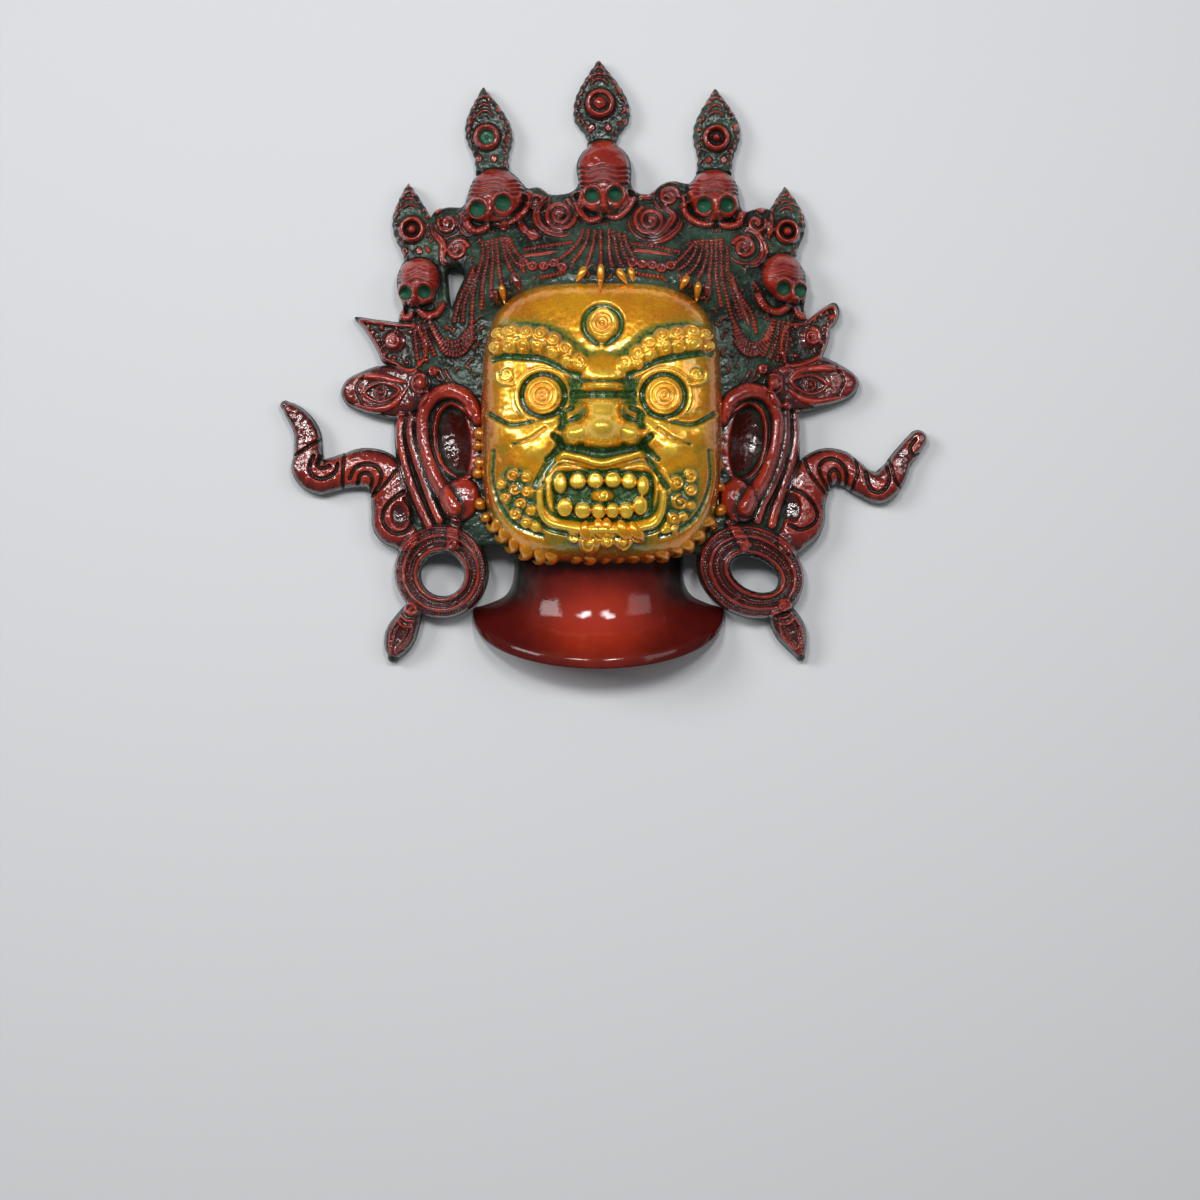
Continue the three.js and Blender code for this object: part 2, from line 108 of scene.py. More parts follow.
def smooth(points, closed=False, step=1.2):
    """A smooth line through a few points, with any number of values at each."""
    p = np.asarray(points, float)
    if closed:
        p = np.vstack([p[-1], p, p[0], p[1]])
    else:
        p = np.vstack([2 * p[0] - p[1], p, 2 * p[-1] - p[-2]])
    out = []
    for a, b, c, d in zip(p[:-3], p[1:-2], p[2:-1], p[3:]):
        count = max(1, int(np.hypot(*(c - b)[:2]) / step))
        t = (np.arange(count) / count)[:, None]
        bend = (2 * a - 5 * b + 4 * c - d) * t**2 + (3 * b - a - 3 * c + d) * t**3
        out.append(0.5 * (2 * b + (c - a) * t + bend))
    if not closed:
        out.append(p[-2:-1])
    return np.vstack(out)


def arc(x, y, radius, start, end, count=9):
    """Points on a round line, with its ends given in degrees."""
    turn = np.radians(np.linspace(start, end, count))
    return np.column_stack([x + radius * np.cos(turn), y + radius * np.sin(turn)])


def oval(x, y, radius_x, radius_y, turn=0.0, count=48):
    t = np.linspace(0, 2 * np.pi, count, endpoint=False)
    u, v = radius_x * np.cos(t), radius_y * np.sin(t)
    c, s = np.cos(turn), np.sin(turn)
    return np.column_stack([x + u * c - v * s, y + u * s + v * c])


def blurred(field, weight, sigma):
    """Mean of the field round each cell, counting only the weighted cells. Sigma in cells."""
    def spread(values):
        rows = np.fft.fftfreq(values.shape[0])[:, None]
        columns = np.fft.rfftfreq(values.shape[1])
        fall = np.exp(-2 * (np.pi * sigma) ** 2 * (rows**2 + columns**2))
        return np.fft.irfft2(np.fft.rfft2(values) * fall, values.shape)

    return spread(field * weight) / np.maximum(spread(weight), 1e-3)


class Relief:
    """A height map with brushes. Raised lines stand on what was there at the last layer()."""

    def __init__(self, left, bottom, right, top, pitch):
        self.pitch = pitch
        self.x = np.arange(left, right + pitch, pitch)
        self.y = np.arange(bottom, top + pitch, pitch)
        self.grid_x, self.grid_y = np.meshgrid(self.x, self.y)
        self.height = np.zeros(self.grid_x.shape)
        self.under = self.height.copy()
        self.inside = np.full(self.grid_x.shape, -FAR)
        self.paint = np.zeros(self.grid_x.shape)

    def layer(self):
        self.under = self.height.copy()

    def window(self, points, reach):
        low = np.min(points, axis=0)[:2] - reach
        high = np.max(points, axis=0)[:2] + reach
        rows = slice(*np.searchsorted(self.y, (low[1], high[1])))
        columns = slice(*np.searchsorted(self.x, (low[0], high[0])))
        return rows, columns

    def near(self, line, reach):
        """Window, distance to the line, length along it and its half-width, near a line."""
        place = self.window(line, reach)
        shape = self.grid_x[place].shape
        distance = np.full(shape, 1e6)
        along = np.zeros(shape)
        widen = np.ones(shape)
        travelled = 0.0
        for a, b in zip(line[:-1], line[1:]):
            rows, columns = self.window([a, b], reach)
            if rows.start == rows.stop or columns.start == columns.stop:
                continue
            x = self.grid_x[rows, columns]
            y = self.grid_y[rows, columns]
            cut = (
                slice(rows.start - place[0].start, rows.stop - place[0].start),
                slice(columns.start - place[1].start, columns.stop - place[1].start),
            )
            dx, dy = b[0] - a[0], b[1] - a[1]
            length = max(np.hypot(dx, dy), 1e-9)
            t = np.clip(((x - a[0]) * dx + (y - a[1]) * dy) / length**2, 0, 1)
            d = np.hypot(x - a[0] - t * dx, y - a[1] - t * dy)
            closer = d < distance[cut]
            distance[cut] = np.where(closer, d, distance[cut])
            along[cut] = np.where(closer, travelled + t * length, along[cut])
            if len(a) > 2:
                widen[cut] = np.where(closer, a[2] + t * (b[2] - a[2]), widen[cut])
            travelled += length
        return place, distance, along, widen, travelled

    def signed(self, outline):
        """Window and distance to a closed outline, positive inside it."""
        ring = np.vstack([outline, outline[:1]])[:, :2]
        place, distance, *_ = self.near(ring, FAR)
        x, y = self.x[place[1]], self.y[place[0]]
        flips = np.zeros((len(y), len(x) + 1), int)
        for (ax, ay), (bx, by) in zip(ring[:-1], ring[1:]):
            rows = np.arange(*np.searchsorted(y, (min(ay, by), max(ay, by))))
            if len(rows):
                crossing = ax + (y[rows] - ay) * (bx - ax) / (by - ay)
                np.add.at(flips, (rows, np.searchsorted(x, crossing)), 1)
        within = np.cumsum(flips, axis=1)[:, :-1] % 2 == 1
        return place, np.where(within, 1, -1) * np.minimum(distance, FAR)

    def include(self, outline):
        place, distance = self.signed(outline)
        self.inside[place] = np.maximum(self.inside[place], distance)

    def exclude(self, outline):
        place, distance = self.signed(outline)
        self.inside[place] = np.minimum(self.inside[place], -distance)

    def raise_to(self, place, value, where, alone=False):
        """Alone means that the height counts from the plain ground, not from the last layer."""
        target = self.height[place]
        under = 0 if alone else self.under[place]
        np.maximum(target, under + value, out=target, where=where)

    def lacquer(self, outline):
        """Says that all of an outline is lacquered, its hollows too."""
        place, distance = self.signed(outline)
        self.paint[place] = np.maximum(self.paint[place], ease(-0.5, 1.0, distance))

    def ridge(self, points, half, height, pointed=(False, False), ribs=0.0, closed=False):
        """A raised round line, drawn to a point at either end if asked, ribbed if asked."""
        line = smooth(points, closed)
        if closed:
            line = np.vstack([line, line[:1]])
        place, distance, along, widen, length = self.near(line, half * line_width(line) + 1)
        size = widen.copy()
        draw = min(length * 0.45, 5 * half)
        if pointed[0]:
            size = size * np.sqrt(np.clip(along / draw, 0.02, 1))
        if pointed[1]:
            size = size * np.sqrt(np.clip((length - along) / draw, 0.02, 1))
        across = distance / (half * size)
        value = height * size * np.sqrt(np.clip(1 - across**2, 0, 1))
        if ribs:
            value = value * (0.93 + 0.07 * np.cos(2 * np.pi * along / ribs))
        self.raise_to(place, value, across < 1)

    def beads(self, points, radius=1.75, pitch=2.3, lift=0.5):
        """A string of round beads."""
        place, distance, along, _, length = self.near(smooth(points), radius + 1)
        pitch = length / max(1, round(length / pitch))
        offset = np.mod(along, pitch) - pitch / 2
        ball = np.sqrt(np.clip(radius**2 - distance**2 - (1.7 * offset) ** 2, 0, None))
        cord = lift * np.clip(1 - (distance / radius) ** 2, 0, 1) ** 0.4
        self.raise_to(place, lift + 1.7 * ball + 0.2 * cord, distance < radius)

    def groove(self, points, half, depth, closed=False):
        line = smooth(points, closed)
        if closed:
            line = np.vstack([line, line[:1]])
        place, distance, *_ = self.near(line, half + 1)
        self.height[place] -= depth * np.clip(1 - (distance / half) ** 2, 0, 1) ** 1.5

    def oval_radius(self, x, y, radius_x, radius_y, turn):
        reach = max(radius_x, radius_y)
        place = self.window(np.array([[x, y]]), reach + 1)
        u, v = self.grid_x[place] - x, self.grid_y[place] - y
        c, s = np.cos(turn), np.sin(turn)
        return place, np.hypot((u * c + v * s) / radius_x, (v * c - u * s) / radius_y)

    def dome(self, x, y, radius_x, radius_y, height, turn=0.0, power=0.5, alone=False):
        place, radius = self.oval_radius(x, y, radius_x, radius_y, turn)
        value = height * np.clip(1 - radius**2, 0, 1) ** power
        self.raise_to(place, value, radius < 1, alone)

    def swell(self, x, y, radius_x, radius_y, height, turn=0.0, power=2.0):
        """A soft rise, or with a negative height a soft hollow, that fades out at its edge."""
        place, radius = self.oval_radius(x, y, radius_x, radius_y, turn)
        self.height[place] += height * np.clip(1 - radius**2, 0, 1) ** power

    def ring(self, x, y, radius, half, height):
        place, distance = self.round_at(x, y, radius + half)
        across = np.abs(distance - radius) / half
        self.raise_to(place, height * np.sqrt(np.clip(1 - across**2, 0, 1)), across < 1)

    def round_at(self, x, y, reach):
        place = self.window(np.array([[x, y]]), reach + 1)
        return place, np.hypot(self.grid_x[place] - x, self.grid_y[place] - y)

    def bare_oval(self, x, y, radius):
        """Bare of lacquer, so that the patina shows."""
        place, distance = self.round_at(x, y, radius)
        self.paint[place] = np.where(distance < radius, -1, self.paint[place])

    def spiral(self, x, y, radius, turns=1.75, half=1.3, height=2.2, start=0.0, hand=1):
        """A raised line that winds in to a bead. Start in degrees."""
        count = max(8, int(14 * turns))
        t = np.linspace(0, 1, count)
        reach = radius - half - (radius - 2.2 * half) * t
        turn = np.radians(start) + hand * 2 * np.pi * turns * t
        self.ridge(np.column_stack([x + reach * np.cos(turn), y + reach * np.sin(turn)]), half, height)
        self.dome(x, y, 1.3 * half, 1.3 * half, height * 1.1)

    def plateau(self, outline, height, slope):
        """A flat-topped rise with rounded sides."""
        place, distance = self.signed(outline)
        t = np.clip(distance / slope, 0, 1)
        self.raise_to(place, height * np.sqrt(1 - (1 - t) ** 2), distance > 0)

    def sample(self, field, x, y):
        """Values of a field between its cells."""
        u = np.clip((x - self.x[0]) / self.pitch, 0, len(self.x) - 1.001)
        v = np.clip((y - self.y[0]) / self.pitch, 0, len(self.y) - 1.001)
        i, j = u.astype(int), v.astype(int)
        a, b = u - i, v - j
        low = field[j, i] * (1 - a) + field[j, i + 1] * a
        high = field[j + 1, i] * (1 - a) + field[j + 1, i + 1] * a
        return low * (1 - b) + high * b


def line_width(line):
    return line[:, 2].max() if line.shape[1] > 2 else 1.0


# ---------------------------------------------------------------- surround: outline

surround = Relief(-218, -204, 218, 204, SURROUND_PITCH)

BODY = [
    (-9, 144.5), (-15.5, 139.5), (-18.6, 131), (-17.5, 119), (-23, 113.5), (-31, 112), (-37, 112.5),
    (-43.5, 117), (-51, 116.5), (-53.8, 119), (-58.5, 124.5), (-64, 128.5), (-75, 130), (-84.5, 124.5),
    (-88.8, 118.5), (-91.2, 110), (-95, 104), (-104, 104), (-112, 101.5), (-117, 95), (-120, 80),
    (-128, 72), (-135, 66), (-138, 57), (-137.5, 47), (-134, 37), (-137, 29), (-136, 10),
    (-130, -8), (-139, -30), (-140, -46), (-139, -62), (-136, -85), (-131, -108), (-122, -124),
    (-100, -126), (-76, -122), (-66, -124), (-54, -132), (-30, -118), (0, -112), (40, -120),
    (62, -128), (76, -126), (88, -124), (104, -126), (118, -122), (126, -108), (129, -84),
    (130, -58), (129, -36), (124, -14), (130, 4), (136, 22), (133, 34), (134, 46), (134, 57),
    (129, 67), (122, 78), (117, 92), (112, 102), (102, 103), (93, 101), (89.5, 108), (88.5, 117),
    (86, 123), (82, 127), (73, 130), (62.5, 127), (56.8, 120), (45.5, 121.5), (38, 119), (30, 112.5),
    (23, 113), (18, 118), (17.8, 131), (15, 139.5), (8, 145), (-1, 148),
]
SIDE_GAP = [(-104, 62), (-96, 62.5), (-92.5, 56), (-97, 45), (-101.5, 36)]

FINIALS = [
    dict(tip=(-4, 203), widest=(-2, 167), half=18.5, foot=(-1.5, 138), foot_half=10, boss=(-3, 173, 9.8),
         knob=5.4),
    dict(tip=(-81, 185), widest=(-77.5, 151), half=15.5, foot=(-74.5, 126), foot_half=11,
         boss=(-78.5, 150.5, 8.8), knob=0),
    dict(tip=(74, 184), widest=(75, 148.5), half=15.5, foot=(73, 126), foot_half=11.5,
         boss=(74.5, 150, 9), knob=3),
    dict(tip=(-131, 121), widest=(-128, 88), half=13.5, foot=(-122, 62), foot_half=10,
         boss=(-128, 88.5, 8.8), knob=3.4),
    dict(tip=(120.5, 118.5), widest=(120.5, 92), half=13.5, foot=(117, 66), foot_half=10,
         boss=(121.5, 87, 8.5), knob=3.4),
]


def finial_outline(tip, widest, half, foot, foot_half, **_):
    """A leaf drawn up to a point, with small lobes along its sides."""
    side = []
    bow = widest[0] - (foot[0] + tip[0]) / 2
    for along, width in ((0, foot_half), (0.2, foot_half * 1.02), (0.36, half * 0.94), (0.47, half),
                         (0.6, half * 0.93), (0.75, half * 0.66), (0.88, half * 0.34), (0.95, half * 0.15)):
        y = foot[1] + along * (tip[1] - foot[1])
        x = foot[0] + along * (tip[0] - foot[0]) + bow * np.sin(np.pi * along)
        side.append((x, y, width))
    left = [(x - w, y) for x, y, w in side]
    right = [(x + w, y) for x, y, w in side[::-1]]
    line = smooth(left + [tip] + right)
    scallop = 0.35 * np.sin(np.arange(len(line)) * 1.3)
    return line + np.column_stack([scallop * np.sign(line[:, 0] - foot[0]), np.zeros(len(line))])


SCARVES = [
    [(-213.5, -27.5, 3.2), (-209, -31.5, 5.6), (-202.5, -39, 7.6), (-198.5, -48, 8.9), (-198, -60, 9.6),
     (-197.5, -70, 11.6), (-190, -76, 11.8), (-181, -74, 11.6), (-172, -71.5, 12), (-160, -69.5, 13.4),
     (-149, -73, 14), (-144, -84, 13), (-142, -98, 13.5), (-141, -108, 13.4), (-133, -116, 10)],
    [(209.5, -50, 6.0), (205, -56, 6.8), (198.5, -64, 7.2), (193, -74, 9.2), (184, -82.5, 11),
     (173, -79.5, 9.8), (164, -73, 10.2), (156, -69, 11.8), (146, -70, 13.2), (138, -78, 14),
     (134, -92, 13.6), (132.5, -106, 13.8), (125, -117, 11)],
]
EARRINGS = [
    dict(x=-108.5, y=-139, rx=31.6, ry=31, turn=0.0, hole=(-107.5, -141, 15, 14.2)),
    dict(x=97, y=-139, rx=37, ry=30, turn=-0.42, hole=(99.5, -141, 17.5, 10.5)),
]
PENDANTS = [
    [(-127, -163, 6), (-131, -171, 8.6), (-136, -181, 10.4), (-139.5, -190, 8), (-141, -195.5, 4)],
    [(116, -161, 7), (119.5, -170, 9.8), (124.5, -179, 10.2), (128.5, -188, 7), (131, -195.5, 3)],
]
BUDS = [
    [(-176, -18), (-172.5, -11), (-165, -6.5), (-150, -1.5), (-132, -3.5), (-118, -8), (-116, -26),
     (-130, -35), (-141, -37), (-154, -35), (-168, -30), (-174, -25)],
    [(170, -13.5), (167, -7), (158, -1), (146, 4.5), (138, 4), (122, -1), (108, -8), (110, -28),
     (128, -33), (141, -31), (155, -27), (166, -21.5)],
]
HORNS = [
    [(-166.8, 31.4), (-152, 29.5), (-136, 27), (-120, 24), (-112, 4), (-124, -10), (-138, -4), (-148, 1),
     (-151.5, 8), (-156, 16), (-162, 25)],
    [(153.8, 41), (157, 36), (155.6, 29), (151, 24.5), (150.5, 18), (147, 8), (140, -2), (118, -8),
     (112, 10), (118, 24), (132, 27), (140, 33), (147, 38)],
]


def band(points):
    """Outline of a band whose points are x, y and half its width."""
    line = smooth(points)
    along = np.gradient(line[:, :2], axis=0)
    along /= np.hypot(along[:, 0], along[:, 1])[:, None]
    across = np.column_stack([-along[:, 1], along[:, 0]]) * line[:, 2:3]
    return np.vstack([line[:, :2] + across, (line[:, :2] - across)[::-1]])


def draw_outline():
    surround.include(smooth(BODY, closed=True))
    for leaf in FINIALS:
        surround.include(finial_outline(**leaf))
    for points in SCARVES + PENDANTS:
        surround.include(band(points))
        x, y, half = points[0]
        surround.include(oval(x, y, half, half))
        x, y, half = points[-1]
        surround.include(oval(x, y, half, half))
    for ring in EARRINGS:
        surround.include(oval(ring["x"], ring["y"], ring["rx"], ring["ry"], ring["turn"]))
    for outline in BUDS + HORNS:
        surround.include(smooth(outline, closed=True))
    for ring in EARRINGS:
        x, y, rx, ry = ring["hole"]
        surround.exclude(oval(x, y, rx, ry, ring["turn"]))
    surround.exclude(smooth(SIDE_GAP, closed=True))


# ---------------------------------------------------------------- surround: crown

SKULLS = [
    dict(x=-0.8, y=127, rx=18.5, ry=21, eyes=[(-8.3, 109), (7, 110)], eye=4.9, nose=(-0.4, 101),
         jaw=[[(-17.5, 104), (-14.6, 97), (-9.4, 92.8), (-3.1, 94.9), (-0.6, 99)],
              [(18.5, 107), (14.8, 100.7), (9.6, 96), (3.2, 95.8), (-0.2, 99)]],
         cheeks=[(-18, 110, 3.0), (17.5, 112, 3.0)]),
    dict(x=-72.5, y=111, rx=19, ry=17.5, eyes=[(-83.9, 100.2), (-67, 103.6)], eye=5.4, nose=(-76, 96),
         jaw=[[(-91, 93), (-89.7, 89.2), (-84.4, 86), (-78, 88.6), (-76.2, 94)],
              [(-50.7, 103.5), (-54.9, 97), (-62.3, 91.8), (-70.7, 90.7), (-75.8, 94)]],
         cheeks=[(-53, 108, 3.0)]),
    dict(x=72.5, y=111, rx=17, ry=17, eyes=[(65.8, 102.5), (81, 103)], eye=5.0, nose=(74, 97),
         jaw=[[(52, 103), (55, 96), (62, 91.5), (70, 91), (73.6, 95.5)],
              [(92, 99), (88.5, 91.5), (83, 89.8), (77, 91), (74.4, 95.5)]],
         cheeks=[(55, 108, 3.0)]),
    dict(x=-123.5, y=54, rx=14.3, ry=14.5, eyes=[(-131.5, 45), (-118.5, 45)], eye=4.4, nose=(-126.5, 39),
         jaw=[[(-135, 35), (-133.5, 30), (-129.5, 30), (-127, 36)],
              [(-107, 36), (-111, 31), (-119, 30.5), (-125.5, 36)]],
         cheeks=[]),
    dict(x=118.5, y=57, rx=14.5, ry=14.5, eyes=[(118, 47.5), (129.5, 46.5)], eye=4.6, nose=(125.5, 41),
         jaw=[[(101, 42), (105, 36), (114, 32.5), (123, 37)],
              [(134, 33), (132, 30), (128.5, 32), (126.5, 37)]],
         cheeks=[]),
]


def skull(x, y, rx, ry, eyes, eye, nose, jaw, cheeks):
    """A skull with a wrinkled brow, round green sockets and a ribbed, upswept upper jaw."""
    middle = (eyes[0][0] + eyes[1][0]) / 2
    level = (eyes[0][1] + eyes[1][1]) / 2
    surround.dome(x, y, rx + 1, ry + 1, 17, power=0.5, alone=True)
    surround.dome(middle, level, rx * 0.94, ry * 0.62, 12.5, power=0.4, alone=True)
    surround.layer()
    for i in range(4):
        rise = level + eye + 3.2 + 0.17 * ry * i
        reach = rx * np.sqrt(max(0.1, 1 - ((rise - y) / (ry + 1)) ** 2)) * 0.98
        sweep = np.linspace(-1, 1, 15)
        line = np.column_stack([x + sweep * reach, rise + 0.9 * np.cos(2 * np.pi * sweep) - 1.2 * sweep**2])
        surround.groove(line, 1.25, 2.0)
    for ex, ey in eyes:
        surround.ridge(arc(ex, ey - 0.6, eye + 1.3, -20, 200), 1.9, 3.2, pointed=BOTH)
    surround.ridge([(middle, level + 3, 0.8), ((middle + nose[0]) / 2, (level + nose[1]) / 2, 1),
                    (*nose, 1.5)], 2.2, 3.6)
    surround.layer()
    for ex, ey in eyes:
        surround.swell(ex, ey, eye * 1.06, eye * 1.06, -7.5, power=0.8)
        surround.bare_oval(ex, ey, eye * 0.95)
    surround.layer()
    for points in jaw:
        surround.ridge(points, 3.0, 6.5, ribs=1.7)
    for cx, cy, radius in cheeks:
        surround.ring(cx, cy, radius, 1.1, 2.6)
    surround.dome(nose[0], nose[1] - 1.5, 3.4, 3.6, 7.5)
    for i in (-1, 0, 1):
        surround.dome(nose[0] + 2.6 * i, nose[1] - 10.5, 1.1, 1.8, 2.6)


def finial(tip, widest, half, foot, foot_half, boss, knob):
    """A leaf with a ringed boss, and beads and curls round its edge. No knob means an open cup."""
    rng = np.random.default_rng(int(200 + tip[0]))
    x, y, radius = boss
    leaf = finial_outline(tip, widest, half, foot, foot_half)
    surround.plateau(leaf, 0.9, 3.5)
    surround.layer()
    surround.dome(x, y, radius * 1.12, radius * 1.12, 2.6, power=0.35)
    surround.layer()
    surround.swell(x, y, radius * 0.7, radius * 0.7, -2.5, power=0.3)
    surround.layer()
    surround.ring(x, y, radius * 0.76, radius * 0.25, 4.4)
    if knob:
        surround.dome(x, y, knob, knob, 8)
    else:
        surround.bare_oval(x, y, radius * 0.56)
        surround.layer()
        surround.dome(x, y, 1.3, 1.3, 1.6)
    i = 2
    while i < len(leaf) - 2:
        toward = np.array([x, y]) - leaf[i]
        reach = np.hypot(*toward)
        i += int(rng.integers(2, 5))
        if reach < radius * 1.3:
            continue
        size = rng.uniform(1.0, 1.9)
        cx, cy = leaf[min(i, len(leaf) - 1)] + toward / reach * rng.uniform(1.8, 3.4)
        if rng.random() < 0.5:
            surround.dome(cx, cy, size, size, 2.2)
        else:
            start = rng.uniform(0, 360)
            surround.ridge(arc(cx, cy, size * 1.1, start, start + 220, 7), 0.8, 2.0, pointed=BOTH)
    for t in (0.42, 0.58, 0.76):
        cx, cy = x + (tip[0] - x) * t, y + (tip[1] - y) * t
        surround.ridge(arc(cx, cy - 2, radius * 0.75 * (1.25 - t), 15, 165, 7), 0.9, 2.0,
                       pointed=BOTH)
    for side in (-1, 1):
        surround.spiral(x + side * radius * 0.6, y - radius * 1.65, 3.0, 1.1, 0.8, 1.8, start=90, hand=side)


SCROLLS = [
    (-29.5, 96.5, 13.5, 2.4, 1.6, 60, -1), (-45.5, 106.5, 7.5, 1.6, 1.2, 200, 1),
    (-46.5, 82, 5, 1.1, 1.2, 90, 1), (30, 92.5, 12.5, 2.3, 1.5, 120, 1), (43, 109.5, 8.6, 1.7, 1.3, 0, 1),
    (-97, 73.5, 9, 1.9, 1.3, 20, 1), (-104, 92, 8, 1.5, 1.2, 160, 1), (-111, 101, 3.6, 1, 0.9, 0, 1),
    (-93, 97.5, 5, 1.2, 1, 90, -1), (92, 75, 9.5, 1.9, 1.4, 160, -1), (100.5, 92, 8, 1.4, 1.2, 20, -1),
    (88, 97, 4.4, 1.1, 0.9, 90, 1), (104, 101, 3.8, 1, 0.9, 180, -1), (-66, 88, 4, 1, 0.9, 0, 1),
]
RIBBONS = [
    [(-36, 110.5), (-44.5, 100.5), (-44.5, 92.5), (-41, 87.5), (-34, 83.5), (-24, 84)],
    [(36, 107), (41.5, 100.5), (45.5, 96.5), (43, 90.5), (37, 83), (26.5, 81)],
    [(51, 97), (48.5, 87.5), (37, 78.5), (22, 78)],
    [(-57, 100), (-55, 90), (-50, 84), (-40, 80)],
    [(-84, 88), (-90, 84), (-94, 88), (-98, 99)],
    [(-113, 96), (-113, 86), (-107, 78), (-107, 66), (-101, 63)],
    [(90.5, 90), (101.5, 84), (106, 74), (102, 65), (92, 62)],
    [(111, 98), (110, 88), (106, 80)],
    [(-58, 112), (-50, 111), (-52, 104)],
    [(22, 106), (26, 110), (33, 108)],
    [(52, 114), (54, 106), (50, 101)],
]
# Fans of strings: the first and the last string of each, and how many there are.
FANS = [
    ([(-13.5, 87), (-17, 77.5), (-24, 69), (-31, 63)], [(-2.5, 86), (-2.5, 76), (-2.3, 66), (-2.5, 57)], 4),
    ([(3, 87), (3, 76), (3.7, 65), (5.5, 58)], [(13, 83), (16, 72), (21, 63), (27, 59)], 4),
    ([(-80.5, 79), (-80, 68), (-85, 48), (-87.5, 24)], [(-71, 81), (-69.8, 66), (-68.5, 55), (-66.5, 46)], 4),
    ([(-68, 82), (-65, 68), (-61, 58), (-57, 52)], [(-63, 81), (-59, 72), (-53.5, 65), (-47, 60.5)], 3),
    ([(-85.5, 62), (-90, 50), (-95, 40), (-99, 24)], [(-86, 58), (-87.5, 48), (-92, 36), (-93, 24)], 2),
    ([(60, 79), (54.5, 71), (48, 63.5), (42, 60)], [(65, 80), (63, 68), (58, 58), (52.5, 53)], 3),
    ([(68, 80), (67, 68), (64, 58), (60.5, 51)], [(77, 81), (77, 64), (77.5, 49), (84.5, 24)], 4),
    ([(81, 76), (81, 58), (84, 42), (90, 26)], [(88, 44), (93, 36), (97, 30), (100, 17)], 2),
    ([(-126, 26), (-125, 14), (-124, 4), (-122, -4)], [(-117, 28), (-114, 20), (-110, 14), (-106, 6)], 4),
    ([(-116, 28), (-106, 13), (-95, 13), (-85, 26)], [(-111, 14), (-104, 4), (-93, 4), (-85, 14)], 4),
    ([(122, 27), (121, 17), (120, 8), (118.5, -2)], [(113, 28), (111, 18), (108, 10), (104, 2)], 4),
    ([(112, 28), (104, 13), (93, 12), (84, 26)], [(109, 12), (101, 4), (92, 4), (85, 12)], 4),
]
BEAD_STRINGS = [
    [(-53, 71.5), (-40, 74), (-21, 77)],
    [(-42.5, 51.5), (-34, 53), (-25, 55.5)],
    [(17, 76), (32, 74), (50, 70)],
    [(17, 55.5), (27, 53), (38, 51.5)],
    [(98, 52), (103, 44), (107, 34), (108, 26)],
]
PLAIN_STRINGS = [
    [(-52, 67.5), (-40, 68.5), (-28, 71)],
    [(20.5, 71), (33, 69.5), (48, 67)],
    [(84, 52), (89, 38), (94, 26), (96, 20)],
]
ROSETTES = [
    (-47, 59.5), (-39.5, 59.5), (-33, 61.5), (24.5, 60.5), (31, 60), (37, 58), (-27.5, 58.5), (18, 61.5),
    (-53, 62), (43, 60), (-113, -7), (104, -6),
]


def crown():
    for leaf in FINIALS:
        finial(**leaf)
    surround.layer()
    for x, y, radius, *_ in SCROLLS:
        surround.dome(x, y, radius * 1.05, radius * 1.05, 1.6, power=0.3)
    surround.layer()
    for x, y, radius, turns, half, start, hand in SCROLLS:
        surround.spiral(x, y, radius, turns * 0.85, half * 1.3, 3.2, start, hand)
        if radius > 7:
            outer = arc(x, y, radius + 1.6, start + 40, start + 250, 12)
            surround.ridge(outer, half * 0.8, 2.6, pointed=BOTH)
    for points in RIBBONS:
        surround.ridge(points, 3.0, 4.4, pointed=BOTH)
        surround.groove(points, 0.8, 1.6)
    surround.layer()
    for points in PLAIN_STRINGS:
        surround.ridge(points, 2.0, 3.0, pointed=(False, True))
    for points in BEAD_STRINGS:
        surround.beads(points)
    for first, last, count in FANS:
        for t in np.linspace(0, 1, count):
            surround.beads((1 - t) * np.array(first) + t * np.array(last))
    for x, y in ROSETTES:
        surround.dome(x, y, 4.2, 4.0, 2.4, power=0.3)
    surround.layer()
    for x, y in ROSETTES:
        surround.ring(x, y, 2.6, 0.9, 1.8)
        surround.dome(x, y, 1.1, 1.1, 1.8)
    surround.layer()
    for parts in SKULLS:
        skull(**parts)
        surround.layer()


# ---------------------------------------------------------------- surround: sides

EARS = [
    dict(rim=[(-83, -40, 0.8), (-86.5, -31, 1), (-93, -23.5, 1.1), (-103.5, -20.5, 1.1), (-114, -25, 1.05),
              (-120, -35, 1), (-120.5, -47, 1), (-118.5, -60, 1), (-112.5, -76, 1.1), (-105.5, -88, 1.25),
              (-99, -98, 1.2)],
         inner=[(-88, -38), (-92, -33), (-101.5, -29), (-108.5, -34.5), (-111.5, -46), (-110, -60),
                (-104.5, -71),
                (-97, -76.5), (-88, -77)],
         bowl=(-99.5, -54, 11, 24.5, 0.12), lobe=(-95, -92, 13, 15, -0.4),
         strands=[[(-134.5, -37), (-136, -48), (-133.5, -64), (-128, -82), (-120, -100), (-116, -108)],
                  [(-128, -37), (-129, -48), (-125.5, -62), (-119.5, -79), (-113, -96), (-109, -105)]]),
    dict(rim=[(77, -40, 0.8), (80, -31, 1), (86.5, -24, 1.1), (97, -20.5, 1.1), (107.5, -24, 1.05),
              (114, -35, 1), (114.5, -47, 1), (112, -60, 1), (106, -76, 1.1), (98.5, -88, 1.25),
              (92, -98, 1.2)],
         inner=[(81, -38), (86, -33), (95, -29), (102.5, -33), (106, -43), (105.5, -58), (100, -71),
                (92, -78), (84, -78)],
         bowl=(93.5, -54, 11, 24.5, -0.12), lobe=(88, -93, 12, 15, 0.4),
         strands=[[(127, -35), (127.3, -49), (124.5, -65), (119, -82), (113, -98), (110.5, -108)],
                  [(120, -30), (120.5, -50), (117, -67), (111, -82), (104.5, -94), (100.5, -105)]]),
]


